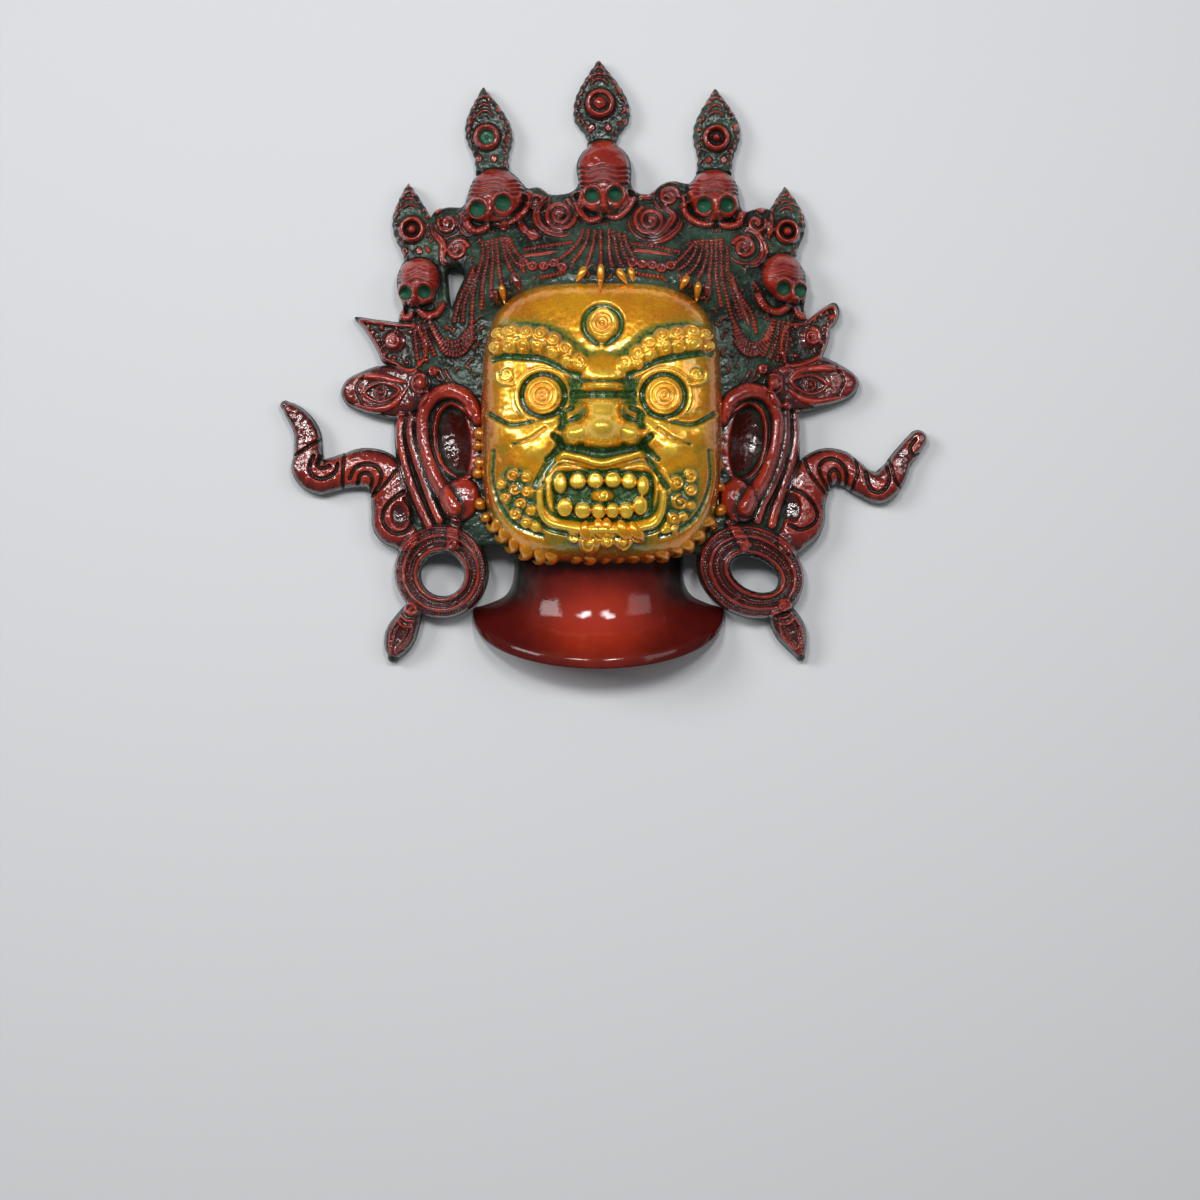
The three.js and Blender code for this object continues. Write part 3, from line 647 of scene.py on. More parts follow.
def ear(rim, inner, bowl, lobe, strands):
    x, y, rx, ry, turn = bowl
    surround.lacquer(oval(x, y, rx * 1.5, ry * 1.15, turn))
    surround.lacquer(oval(lobe[0], lobe[1], lobe[2], lobe[3], lobe[4]))
    surround.dome(*lobe[:4], 10, lobe[4], power=0.4)
    surround.layer()
    for points in strands:
        surround.ridge(points, 3.5, 5.5)
    surround.swell(x, y, rx * 1.1, ry * 1.08, -13, turn, power=0.7)
    surround.ridge(rim, 5.0, 8.5)
    surround.layer()
    surround.ridge(inner, 1.6, 3.4)
    surround.layer()


def bud(outline, eye, tip, ball, side):
    """A lotus bud on its side: an outer case, an almond eye and a ball at its root."""
    surround.plateau(smooth(outline, closed=True), 6.5, 9)
    surround.layer()
    ex, ey = eye
    case = [[(tip[0] - side * 8, tip[1] + 9), (ex + side * 6, ey + 11), (ex - side * 8, ey + 8),
             (ball[0] + side * 9, ball[1] + 1)],
            [(tip[0] - side * 6, tip[1] - 9), (ex + side * 4, ey - 11.5), (ex - side * 9, ey - 8),
             (ball[0] + side * 9, ball[1] - 2)]]
    for points in case:
        surround.ridge(points, 2.2, 2.4, pointed=BOTH)
    surround.swell(ex, ey, 12, 8.5, -2.4, power=0.6)
    surround.layer()
    almond = [(ex + side * 11, ey), (ex, ey + 6.2), (ex - side * 13, ey + 1), (ex, ey - 6.2)]
    surround.ridge(almond, 1.2, 2.2, closed=True)
    surround.ring(ex, ey, 3.6, 0.9, 2.4)
    surround.dome(ex, ey, 2.0, 2.0, 2.8)
    surround.groove([(tip[0] - side * 14, tip[1] + 10), (tip[0] - side * 9, tip[1] + 2),
                     (tip[0] - side * 13, tip[1] - 8)], 1.2, 2.2)
    surround.ring(*ball, 6.0, 1.1, 3)
    surround.dome(*ball, 4.6, 4.6, 7.5)
    surround.layer()


def horn(outline, curl, ball=None):
    surround.plateau(smooth(outline, closed=True), 1.2, 4)
    surround.layer()
    surround.dome(curl[0], curl[1], curl[2] * 1.3, curl[2] * 1.2, 3)
    surround.layer()
    surround.spiral(curl[0], curl[1], curl[2], 1.5, 1.4, 2.8, start=90, hand=curl[3])
    centre = np.mean(outline, axis=0)
    inset = [tuple(np.array(p) * 0.82 + centre * 0.18) for p in outline]
    surround.ridge(inset, 1.5, 3.0, closed=True)
    for px, py in [tuple(np.array(p) * 0.6 + centre * 0.4) for p in outline]:
        surround.dome(px, py, 1.9, 1.9, 2.2)
    if ball:
        surround.dome(*ball, 3, 3, 4)
    surround.layer()


def scarf(points, folds, bends, pocket):
    """A heavy rounded band with seams across it and grooves that follow its bends."""
    surround.lacquer(band(points))
    surround.ridge(points, 1.0, 0.62)
    surround.layer()
    for line in folds:
        surround.groove(line, 1.4, 3.2)
    for line in bends:
        surround.groove(line, 1.6, 3.4)
    surround.swell(*pocket, power=0.6)
    surround.layer()


def earring(x, y, rx, ry, turn, hole):
    hx, hy, hrx, hry = hole

    def between(t):
        return oval(x + (hx - x) * (1 - t), y + (hy - y) * (1 - t), hrx + (rx - hrx) * t,
                    hry + (ry - hry) * t, turn)

    surround.plateau(oval(x, y, rx, ry, turn), 2.5, 3)
    surround.layer()
    surround.ridge(between(0.16), 1.5, 2.8, closed=True)
    surround.ridge(between(0.62), 1.5, 2.8, closed=True)
    surround.ridge(between(0.90), 0.9, 1.6, closed=True)
    inner = between(0.42)
    outer = between(0.78)
    surround.beads(np.vstack([inner, inner[:1]]), 1.1, 2.0, 0.5)
    surround.beads(np.vstack([outer, outer[:1]]), 1.0, 1.9, 0.4)
    surround.layer()


def pendant(points, knob):
    surround.plateau(band(points), 3.0, 4)
    surround.layer()
    middle = np.array(points[2][:2])
    axis = np.array(points[-1][:2]) - np.array(points[0][:2])
    axis /= np.hypot(*axis)
    across = np.array([-axis[1], axis[0]])
    for side in (-1, 1):
        for reach, half in ((0.72, 0.9), (0.38, 0.8)):
            places = ((-11, 6), (-2, 9), (6, 7), (12, 2))
            line = [middle + axis * along + across * side * reach * width for along, width in places]
            surround.beads(line, half, 1.8, 0.5)
    for foot, spread, peak in ((8, 5, 6), (12, 4, 10.5)):
        left, right = middle - axis * foot - across * spread, middle - axis * foot + across * spread
        surround.ridge([left, middle - axis * peak, right], 1.2, 2.6)
    surround.ring(*knob, 3.4, 1.5, 4)
    surround.dome(*knob, 2.4, 2.4, 4.4)
    surround.layer()


SCARF_WORK = [
    dict(folds=[[(-206, -61), (-200.5, -58), (-189, -50.5)], [(-173, -59), (-173.7, -69), (-174.2, -83)],
                [(-157, -90.5), (-147, -82.5), (-138, -72)]],
         bends=[[(-193.5, -62), (-196, -68.5), (-195, -73.5), (-190.5, -77), (-184.5, -76.5), (-179, -72.5),
                 (-177.5, -67)],
                [(-189.5, -62), (-191, -67), (-188.5, -70), (-183, -68.5)],
                [(-169.5, -77), (-165.5, -70), (-159.5, -67.5), (-152.5, -68.5), (-148, -73.5), (-149, -80),
                 (-153.5, -87)],
                [(-164, -80), (-162, -74.5), (-157, -73.5), (-154, -78), (-156, -85)],
                [(-133, -86), (-142.5, -93), (-147, -100.5), (-146, -107.5), (-140.5, -113), (-133, -113),
                 (-128, -107), (-128.5, -98), (-132.5, -91)]],
         pocket=(-135.5, -101.5, 6.5, 9, -4.5)),
    dict(folds=[[(190, -63), (193, -77), (198, -84)], [(166, -62), (168.5, -72), (166, -80), (163, -88)],
                [(131, -60), (135, -72), (141.5, -81), (148, -88)],
                [(207, -51), (203.5, -56), (205, -61), (209, -60)]],
         bends=[[(174, -73), (176, -82), (180.5, -86), (186, -84.5), (189.5, -77), (188, -69)],
                [(148.5, -84), (143.5, -75.5), (142.5, -69), (147, -64.5), (153.5, -64.5), (159, -69),
                 (161, -75.5), (160, -84)],
                [(151, -82), (149, -75), (152.5, -71), (156, -75), (155, -83)],
                [(124.5, -84), (133, -88.5), (139.5, -96), (141, -102.5), (137.5, -108), (129.5, -111),
                 (122, -108)]],
         pocket=(124.5, -97, 6, 10, -4.5)),
]


def sides():
    horn(HORNS[0], (-140, 14, 6.5, 1))
    horn(HORNS[1], (138, 17, 7, -1), (152, 30))
    for parts in EARS:
        ear(**parts)
    for points, work in zip(SCARVES, SCARF_WORK):
        scarf(points, **work)
    for side, outline, eye, tip, ball in ((-1, BUDS[0], (-148.7, -20), (-174, -19), (-121, -15)),
                                          (1, BUDS[1], (136.5, -15), (168, -13.5), (111, -15.5))):
        bud(outline, eye, tip, ball, side)
    for ring in EARRINGS:
        earring(**ring)
    for points, knob in zip(PENDANTS, ((-128.5, -163.5), (119.5, -161))):
        pendant(points, knob)
    surround.plateau(band([(-97, -105, 4.2), (-99.5, -113, 4.6), (-100, -125, 5.2)]), 4, 2.5)
    surround.plateau(band([(81, -104, 3.6), (86, -112, 4.2), (94, -125, 4.4)]), 4, 2.5)
    surround.layer()
    surround.ring(-100, -121, 2.2, 0.9, 1.6)
    surround.dome(92, -122, 2, 2, 1.6)
    for side, root_x, root_y in ((-1, -121, -15), (1, 111, -15.5)):
        for i in range(3):
            x = root_x * 0.93 - 4 * i * side
            leaf = [(x, root_y + 10 - i), (x - 2 * side, root_y + 4), (x - 7 * side, root_y + 1 - 2 * i)]
            surround.ridge(leaf, 1.2, 2.2)


def fill_ground():
    """Small curls wherever the upper ground would be left plain."""
    rng = np.random.default_rng(7)
    spots = [(x, y) for x in np.arange(-140, 140, 5.5) for y in np.arange(-8, 135, 5.5)]
    for x, y in spots:
        x, y = x + rng.uniform(-1.6, 1.6), y + rng.uniform(-1.6, 1.6)
        place, distance = surround.round_at(x, y, 2.8)
        if face_radius(x, y) < 1.02:
            continue
        near = distance < 2.8
        if surround.inside[place].min() < 1.5 or surround.height[place][near].max() > 1.5:
            continue
        size, start = rng.uniform(1.9, 2.9), rng.uniform(0, 360)
        surround.ridge(arc(x, y, size, start, start + rng.uniform(120, 270), 7), 0.9, 2.2,
                       pointed=BOTH)


def roughen(canvas, amount, cells):
    """The slightly lumpy skin of a sand casting."""
    grain = blurred(np.random.default_rng(3).normal(size=canvas.height.shape), np.ones(canvas.height.shape),
                    cells)
    canvas.height += amount * grain / grain.std()


draw_outline()
crown()
sides()
fill_ground()
roughen(surround, 0.14, 2.2)
edge_drop = 5.0 * (1 - np.sqrt(1 - (1 - np.clip(surround.inside / 3.2, 0, 1)) ** 2))
surround.height = blurred(surround.height, np.ones(surround.height.shape), 0.5)
surround_z = ground_height(surround.grid_x, surround.grid_y) + surround.height - edge_drop
inside_now = (surround.inside > 0).astype(float)

# ---------------------------------------------------------------- face

face = Relief(-92, -145, 90, 60, 0.4)
FORM_BLUR = 1.5


def brow(curls, under):
    ridge_line = [(x, y - 4) for x, y, _ in curls[::2]]
    for x, y in smooth(ridge_line, step=4):
        face.swell(x, y, 15, 13, 1.6)
    face.groove(under, 2.6, 2.6)
    face.layer()
    for x, y, radius in curls:
        face.dome(x, y, radius * 1.2, radius * 1.2, 1.1, power=0.25)
    face.layer()
    for i, (x, y, radius) in enumerate(curls):
        face.spiral(x, y, radius * 1.08, 1.5, 0.75, 1.4, start=70 * i, hand=1 if x < FACE_X else -1)
    face.layer()


def eye(x, y):
    face.swell(x, y, 22, 20, -7)
    face.layer()
    face.dome(x, y, 12.6, 12.6, 9, power=0.5)
    face.layer()
    face.groove(oval(x, y, 14.4, 14.2), 2.2, 3.2, closed=True)
    face.ridge(oval(x, y, 17, 16.2), 1.5, 1.3, closed=True)
    for radius, half, height in ((8.8, 0.9, 1.0), (5.6, 0.8, 0.9), (2.8, 0.7, 0.9)):
        face.ring(x, y, radius, half, height)
    face.dome(x, y, 1.4, 1.4, 1.4)
    for radius in (10.6, 7.2, 4.2):
        face.groove(oval(x, y, radius, radius), 0.8, 0.5, closed=True)
    face.layer()


def third_eye(x, y):
    face.groove(oval(x, y, 12.4, 12.6), 2.6, 2.6, closed=True)
    face.layer()
    almond = [(x, y + 12), (x + 7, y + 6), (x + 9.3, y - 1), (x + 6, y - 8), (x - 0.5, y - 15),
              (x - 6, y - 8),
              (x - 9.3, y - 1), (x - 7, y + 6)]
    face.plateau(smooth(almond, closed=True), 2.4, 2.4)
    face.layer()
    for radius, half, height in ((7.8, 0.8, 0.9), (5.2, 0.7, 0.9), (2.8, 0.7, 0.9)):
        face.ring(x, y, radius, half, height)
    face.dome(x, y, 1.4, 1.4, 1.3)
    face.layer()


NOSE = [(-10.9, -30), (-11.5, -39), (-17, -44), (-27.5, -49), (-27.5, -55), (-19, -59), (-1.6, -61),
        (16, -59),
        (24.5, -55), (24.5, -49), (14.5, -44), (9.4, -39), (8.3, -30)]


# Across, up, half-width, half-height and strength of the green that has settled round the features.
STAINS = [
    (-20, -27, 12, 17, 0.9), (17.5, -27, 12, 17, 0.9), (-1.6, -64, 32, 7, 0.8), (-33, -62, 8, 18, 0.7),
    (30, -62, 8, 18, 0.7), (-57, -93, 15, 24, 0.8), (50, -93, 15, 24, 0.8), (-2, -91, 34, 17, 0.8),
    (-48, 6, 30, 15, 0.6), (-26, -2, 16, 12, 0.6), (45, 6, 30, 15, 0.6), (24, -3, 16, 12, 0.6),
    (-2, -120, 50, 12, 0.7), (-74, -108, 16, 18, 0.7), (70, -108, 16, 18, 0.7), (-1.4, 19, 15, 16, 0.4),
    (-40, -27, 21, 20, 0.35), (38, -27, 21, 20, 0.35), (-60, -36, 14, 12, 0.35), (56, -36, 14, 12, 0.35),
]


def stain(x, y, radius_x, radius_y, strength):
    place, radius = face.oval_radius(x, y, radius_x, radius_y, 0.0)
    soft = strength * np.clip(1 - radius**2, 0, 1) ** 0.7
    face.paint[place] = np.maximum(face.paint[place], soft)


def nose_form():
    """The big forms of the nose, before the face is smoothed."""
    face.swell(-1, -12, 17, 13, 6, power=1.2)
    face.swell(-1.5, -34, 21, 26, 8, power=1.2)
    face.swell(-1.5, -49, 34, 24, 9, power=1.2)
    for x in (-20, 17):
        face.swell(x, -24, 9, 12, -4, power=1.0)
    face.layer()
    face.plateau(smooth(NOSE, closed=True), 9, 8)
    face.dome(-1.6, -50, 15.5, 11.5, 17, power=0.6)
    for x in (-18.5, 15.5):
        face.dome(x, -52, 9.5, 8, 13, power=0.6)
    face.layer()


def nose_lines():
    face.ridge([(-11, -21.5), (0, -21), (10.4, -21.5)], 2.6, 2.4, pointed=BOTH)
    face.groove([(-14, -17.5), (0, -18), (12.5, -17.5)], 1.9, 2.8)
    face.groove([(-20, -26), (-10, -26.5), (0, -27), (8, -26.5), (18, -26)], 3.2, 4.2)
    face.groove([(-32, -53), (-25, -60), (-12, -62.5), (-1.5, -63.5), (9, -62.5), (22, -60), (29, -53)],
                3.0, 5.0)
    for side, x in ((-1, -19.5), (1, 16.5)):
        face.groove([(x - side * 3, -41), (x + side * 4, -44), (x + side * 11, -49)], 2.0, 2.2)
        face.swell(x - side * 4, -59, 4.5, 2.8, -3)
    face.layer()


def cheek_form(side, x):
    face.swell(x - side * 2, -53, 22, 19, 7, power=1.4)
    face.swell(x + side * 9, -66, 17, 15, 5, power=1.4)
    face.swell(x + side * 20, -50, 14, 12, 3.5, power=1.4)


def cheek_lines(side, x):
    face.groove([(x - side * 13, -40), (x - side * 13, -52), (x - side * 10, -63), (x - side * 2, -74),
                 (x + side * 3, -84)],
                3.6, 5.0)
    face.groove([(x + side * 35, -38), (x + side * 28, -42), (x + side * 19, -45.5), (x + side * 6, -43.5),
                 (x - side * 8, -39), (x - side * 19, -35)], 2.4, 3.0)
    face.groove([(x - side * 2, -48), (x + side * 8, -55), (x + side * 18, -58)], 1.8, 1.6)
    face.layer()


MOUTH = [(-32.2, -79), (-29, -76), (-16, -75), (-1.8, -75.4), (13, -75), (27.6, -75.6), (31.7, -79),
         (32.7, -91),
         (30.7, -102), (22.5, -105.4), (-1.8, -106.2), (-24, -105.4), (-31.2, -102), (-33.3, -91)]
UPPER_LIP = [(-43, -84), (-37, -72.5), (-28.5, -65.5), (-17, -66.8), (-1.8, -70.9), (14, -66.8), (25, -64.5),
             (34, -72.5), (41, -83)]
LOWER_LIP = [(-41.4, -88), (-40.4, -101), (-34.3, -108), (-18, -110.5), (-1.8, -110), (14.4, -111),
             (30.7, -109),
             (36.4, -101), (37.5, -88)]
# Across and up to the middle of each tooth, half its width and half its height.
TEETH = [(-28.2, -83.1, 3.9, 6.4), (-17.2, -81.7, 5.2, 5.0), (-5.9, -81.4, 5.2, 5.0), (5.2, -81, 5.2, 5.0),
         (15.6, -81.7, 4.8, 5.0), (24.6, -84.4, 3.8, 6.4), (-25.3, -98, 4.8, 5.8), (-14, -99.9, 5.2, 5.0),
         (-3.8, -100.3, 4.6, 4.8), (5, -100, 4.4, 4.8), (13.8, -99.9, 4.6, 5.0), (22.6, -97, 4.6, 6.0)]


def mouth_form():
    face.swell(-2, -88, 52, 34, 9, power=1.2)
    face.swell(-2, -118, 34, 15, 5)
    face.layer()
    place, distance = face.signed(smooth(MOUTH, closed=True))
    face.height[place] -= 9 * ease(-2, 3.5, distance)


def mouth_lines():
    face.ridge(UPPER_LIP, 2.2, 2.8)
    face.ridge(LOWER_LIP, 2.2, 2.6)
    face.layer()
    face.groove([(x, y + 5) for x, y in UPPER_LIP[1:-1]], 2.4, 3.4)
    face.groove([(x, y - 5.6) for x, y in UPPER_LIP[1:-1]], 1.2, 1.2)
    face.groove([(x * 0.93, y + 5) for x, y in LOWER_LIP], 1.8, 2.4)
    face.groove([(x * 1.05, y - 4.6) for x, y in LOWER_LIP[1:-1]], 1.8, 2.2)
    face.layer()
    for x, y, rx, ry in TEETH:
        face.dome(x, y, rx * 1.12, ry * 1.06, 10, power=0.2)
    face.dome(-1.5, -91, 8, 6, 8)
    face.layer()
    face.spiral(-0.6, -90.6, 4.4, 1.3, 0.9, 1.6, start=200)
    face.layer()


CURLS = [
    (-58.5, -78.5, 4), (-50.5, -79.5, 3.6), (-66, -83, 3.4), (-57.3, -86.5, 4), (-49.6, -88.5, 3.6),
    (-63, -92, 3.4), (-53.8, -95.5, 4), (-47.5, -100, 3.6), (-56.5, -102, 3.8), (-50, -107.5, 3.6),
    (-44, -111, 3.4), (46.2, -83, 4.4), (54.5, -78.5, 4), (54.5, -87, 4), (48.5, -95, 5.4), (55, -97, 3),
    (44, -105.5, 4), (50, -104, 3), (39.5, -112, 3.6), (45, -112.5, 3),
    (-10, -119, 6), (2, -117, 4), (12.5, -117.5, 5.4), (-20, -115.5, 3.4), (21, -116, 3.6),
]


def whiskers():
    for x, y, radius in CURLS:
        face.dome(x, y, radius * 1.2, radius * 1.2, 1.4, power=0.25)
    face.layer()
    for i, (x, y, radius) in enumerate(CURLS):
        face.spiral(x, y, radius * 1.1, 1.3, 0.85, 1.6, start=110 * i, hand=(-1) ** i)
    face.layer()
    for points in ([(-72, -62), (-73, -80), (-67, -98), (-57, -110), (-40, -117)],
                   [(68, -62), (69, -80), (63, -98), (53, -110), (36, -117)]):
        face.groove(points, 2.4, 2.2)
    face.layer()


BROWS = [
    dict(curls=[(-67, 12.5, 4.6), (-69, 3.5, 4), (-58.5, 14, 4.8), (-60, 4, 4.2), (-49.5, 13, 4.6),
                (-51.5, 4, 4),
                (-40.5, 12, 4.6), (-42.5, 4, 3.8), (-32.5, 8.5, 4.4), (-33.5, -0.5, 3.6), (-25, 2.5, 4.6),
                (-24.5, -6, 3.4), (-16, -5.5, 4.6)],
         under=[(-72, -3), (-64, -1.5), (-53, -2.5), (-41, -3.5), (-31, -7.5), (-24, -11.5), (-16, -14)]),
    dict(curls=[(63, 12.5, 4.6), (65, 4, 4), (54.5, 13.5, 4.8), (56, 5, 4.2), (45.5, 12.5, 4.8), (47, 3.5, 4),
                (36.5, 11, 4.6), (38, 3, 4), (28.5, 6, 4.6), (29.5, -2, 3.6), (21, 0, 4.6), (21.5, -7.5, 3.4),
                (13, -6.5, 4.6)],
         under=[(69, 1), (60, 0.5), (46, -2), (33, -5), (24, -9.5), (15, -14)]),
]


def make_face():
    nose_form()
    for side, x in ((-1, -40), (1, 36)):
        cheek_form(side, x)
    mouth_form()
    face.height = blurred(face.height, np.ones(face.height.shape), FORM_BLUR / face.pitch)
    face.layer()
    for parts in BROWS:
        brow(**parts)
    eye(-39.6, -26.6)
    eye(38.0, -26.8)
    third_eye(-1.4, 19.5)
    nose_lines()
    for side, x in ((-1, -40), (1, 36)):
        cheek_lines(side, x)
    mouth_lines()
    whiskers()
    for side, x in ((-1, -62.4), (1, 58.5)):
        face.spiral(x, -13, 5, 1.4, 1.2, 2.4, start=200 if side < 0 else -20, hand=-side)
        face.ridge([(x + side * 6, -12), (x + side * 5, -17), (x - side * 1, -19.5), (x - side * 6, -19)],
                   1.4, 2.2,
                   pointed=(False, True))
    for spot in STAINS:
        stain(*spot)
    roughen(face, 0.07, 2.5)


make_face()
face.height = blurred(face.height, np.ones(face.height.shape), 0.8)

# ---------------------------------------------------------------- meshes


def make_mesh(name, points, quads, normals, values, material):
    """A mesh object from arrays in millimetres, with shading normals and named values."""
    mesh = bpy.data.meshes.new(name)
    mesh.vertices.add(len(points))
    mesh.vertices.foreach_set("co", (points * MM).astype(np.float32).ravel())
    sides = quads.shape[1]
    mesh.loops.add(quads.size)
    mesh.loops.foreach_set("vertex_index", quads.astype(np.int32).ravel())
    mesh.polygons.add(len(quads))
    mesh.polygons.foreach_set("loop_start", np.arange(0, quads.size, sides, dtype=np.int32))
    mesh.polygons.foreach_set("use_smooth", np.ones(len(quads), bool))
    mesh.update(calc_edges=True)
    if normals is not None:
        length = np.linalg.norm(normals, axis=1)[:, None]
        mesh.normals_split_custom_set_from_vertices((normals / length).astype(np.float32))
    for key, value in values.items():
        mesh.attributes.new(key, "FLOAT", "POINT").data.foreach_set("value", value.astype(np.float32))
    mesh.materials.append(material)
    piece = bpy.data.objects.new(name, mesh)
    bpy.context.collection.objects.link(piece)
    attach(piece, "root")
    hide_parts("mask")
    return piece


def compact(points, quads, normals, values):
    """Only the points that the quads use."""
    used, index = np.unique(quads, return_inverse=True)
    return points[used], index.reshape(quads.shape), normals[used], {k: v[used] for k, v in values.items()}


def grid_quads(keep):
    """Corner numbers of the kept cells of a grid, counterclockwise seen from +Z."""
    rows, columns = keep.shape
    corner = np.arange((rows + 1) * (columns + 1)).reshape(rows + 1, columns + 1)
    quads = np.stack([corner[:-1, :-1], corner[:-1, 1:], corner[1:, 1:], corner[1:, :-1]], axis=-1)
    return quads[keep]


def border_edges(quads):
    """Edges that only one quad has, in that quad's direction."""
    edges = np.concatenate([quads[:, [i, (i + 1) % 4]] for i in range(4)])
    key = edges[:, 0] * (quads.max() + 1) + edges[:, 1]
    back = edges[:, 1] * (quads.max() + 1) + edges[:, 0]
    return edges[~np.isin(key, back)]


# ---------------------------------------------------------------- materials


class Nodes:
    """A material's node graph, built with a few short calls."""

    def __init__(self, name):
        self.material = bpy.data.materials.new(name)
        self.material.use_nodes = True
        self.tree = self.material.node_tree
        self.shader = self.tree.nodes["Principled BSDF"]
        self.place = self.tree.nodes.new("ShaderNodeTexCoord").outputs["Object"]

    def link(self, source, target):
        self.tree.links.new(source, target)

    def value(self, name):
        node = self.tree.nodes.new("ShaderNodeAttribute")
        node.attribute_name = name
        return node.outputs["Fac"]

    def noise(self, scale, detail=3.0, roughness=0.6):
        node = self.tree.nodes.new("ShaderNodeTexNoise")
        node.inputs["Scale"].default_value = scale
        node.inputs["Detail"].default_value = detail
        node.inputs["Roughness"].default_value = roughness
        self.link(self.place, node.inputs["Vector"])
        return node.outputs["Fac"]

    def remap(self, source, low, high, to_low=0.0, to_high=1.0):
        node = self.tree.nodes.new("ShaderNodeMapRange")
        node.interpolation_type = "SMOOTHSTEP"
        for key, value in zip(("From Min", "From Max", "To Min", "To Max"), (low, high, to_low, to_high)):
            node.inputs[key].default_value = value
        self.link(source, node.inputs["Value"])
        return node.outputs["Result"]

    def math(self, operation, a, b):
        node = self.tree.nodes.new("ShaderNodeMath")
        node.operation = operation
        for socket, item in zip(node.inputs, (a, b)):
            if isinstance(item, (int, float)):
                socket.default_value = item
            else:
                self.link(item, socket)
        return node.outputs[0]

    def mix(self, factor, a, b):
        """Two colours, each a tuple or an output, mixed by an output."""
        node = self.tree.nodes.new("ShaderNodeMix")
        node.data_type = "RGBA"
        self.link(factor, node.inputs["Factor"])
        for key, item in (("A", a), ("B", b)):
            socket = [s for s in node.inputs if s.name == key and s.type == "RGBA"][0]
            if isinstance(item, tuple):
                socket.default_value = (*item, 1.0)
            else:
                self.link(item, socket)
        return [s for s in node.outputs if s.type == "RGBA"][0]

    def set(self, **sockets):
        for key, item in sockets.items():
            socket = self.shader.inputs[key.replace("_", " ")]
            if isinstance(item, (int, float, tuple)):
                socket.default_value = item
            else:
                self.link(item, socket)

    def bump(self, source, strength, distance):
        node = self.tree.nodes.new("ShaderNodeBump")
        node.inputs["Strength"].default_value = strength
        node.inputs["Distance"].default_value = distance
        self.link(source, node.inputs["Height"])
        self.link(node.outputs["Normal"], self.shader.inputs["Normal"])
        self.link(node.outputs["Normal"], self.shader.inputs["Coat Normal"])


BLACK_GREEN = (0.010, 0.014, 0.011)
TEAL = (0.034, 0.070, 0.047)
SOCKET_GREEN = (0.022, 0.105, 0.058)
# Painted light on the red lacquer: the dark maroon is its painted shade and the orange its painted highlight.
SHADED_MAROON = (0.040, 0.003, 0.002)
LACQUER = (0.25, 0.011, 0.003)
HIGHLIGHT_ORANGE_LACQUER = (0.50, 0.040, 0.006)


def red_lacquer():
    """Red lacquer on the raised work, darker maroon down its sides and lighter on its tops as painted shade
    and painted highlight; green and black patina down in the ground, painted near black as shade in the
    deepest hollows.
    """
    n = Nodes("red_lacquer_over_patina")
    blotch = n.noise(45, 4)
    fine = n.noise(420, 4)
    rise = n.math("ADD", n.value("rise"), n.math("MULTIPLY", n.math("SUBTRACT", fine, 0.5), 0.5))
    raised = n.remap(n.value("level"), 1.0, 1.9)
    open_top = n.remap(rise, -1.7, -0.8)
    lacquered = n.math("MULTIPLY", raised, open_top)
    patina = n.mix(n.remap(blotch, 0.40, 0.66), BLACK_GREEN, TEAL)
    patina = n.mix(n.remap(fine, 0.54, 0.72), patina, (0.095, 0.125, 0.090))
    # Painted shade: the patina goes near black down in the deepest hollows.
    deep = n.mix(n.remap(n.value("rise"), -2.6, -1.2), (0.006, 0.009, 0.007), patina)
    deep = n.mix(n.remap(n.value("level"), -0.9, -0.4, 1.0, 0.0), deep, SOCKET_GREEN)
    # Painted shade and painted highlight: the red goes from dark maroon down the sides and in the gaps to
    # lighter red on the tops and on the highest work, with some noise.
    height_for_painted_light = n.math("ADD", rise, n.remap(n.value("level"), 4, 10))
    red = n.mix(n.remap(n.math("ADD", height_for_painted_light, n.noise(90, 4)), 0.1, 2.1), SHADED_MAROON, LACQUER)
    # Painted highlight: lighter orange-red on the raised tops, in random blotches.
    red = n.mix(n.math("MULTIPLY", n.remap(blotch, 0.45, 0.75), n.remap(rise, 0.2, 1.2)), red, HIGHLIGHT_ORANGE_LACQUER)
    n.set(Base_Color=n.mix(lacquered, deep, red), Specular_IOR_Level=0.08, Roughness=0.5)
    n.set(Coat_Weight=n.remap(lacquered, 0.0, 1.0, 0.22, 1.0), Coat_Roughness=0.06, Coat_IOR=1.85)
    n.bump(n.math("ADD", n.noise(420, 2), n.math("MULTIPLY", n.noise(140, 2), 1.6)), 0.42, 0.0012)
    return n.material


def gold_face():
    """Gold paint, with painted shade browner at the sides and painted highlights lighter yellow on the raised
    tops, and green down in the creases.
    """
    n = Nodes("gilded_face")
    fine = n.noise(500, 4)
    blotch = n.noise(28, 4)
    rise = n.math("ADD", n.value("rise"), n.math("MULTIPLY", n.math("SUBTRACT", fine, 0.5), 0.4))
    gold = n.mix(n.remap(blotch, 0.35, 0.65), (0.78, 0.26, 0.004), (0.96, 0.42, 0.006))
    # Painted shade: browner towards the sides and the top corners of the forehead, where the dome turns from
    # the light.
    gold = n.mix(n.value("painted_side_shade"), gold, (0.38, 0.085, 0.010))
    # Painted highlight: lighter yellow on the raised tops.
    gold = n.mix(n.remap(rise, 0.2, 1.0), gold, (0.96, 0.60, 0.05))
    gold = n.mix(n.remap(rise, -0.7, 0.1, 0.9, 0.0), gold, (0.27, 0.23, 0.012))
    green = n.mix(n.remap(fine, 0.35, 0.65), (0.010, 0.035, 0.008), (0.045, 0.13, 0.025))
    crease = n.remap(rise, -1.1, -0.4, 1.0, 0.0)
    n.set(Base_Color=n.mix(crease, gold, green), Coat_Weight=0.8, Coat_Roughness=0.10, Coat_IOR=1.6)
    n.set(Metallic=n.remap(rise, -0.9, -0.2, 0.1, 0.55), Roughness=n.remap(fine, 0.3, 0.7, 0.22, 0.36))
    n.bump(n.math("ADD", n.noise(420, 2), n.math("MULTIPLY", n.noise(150, 2), 1.4)), 0.12, 0.0005)
    return n.material


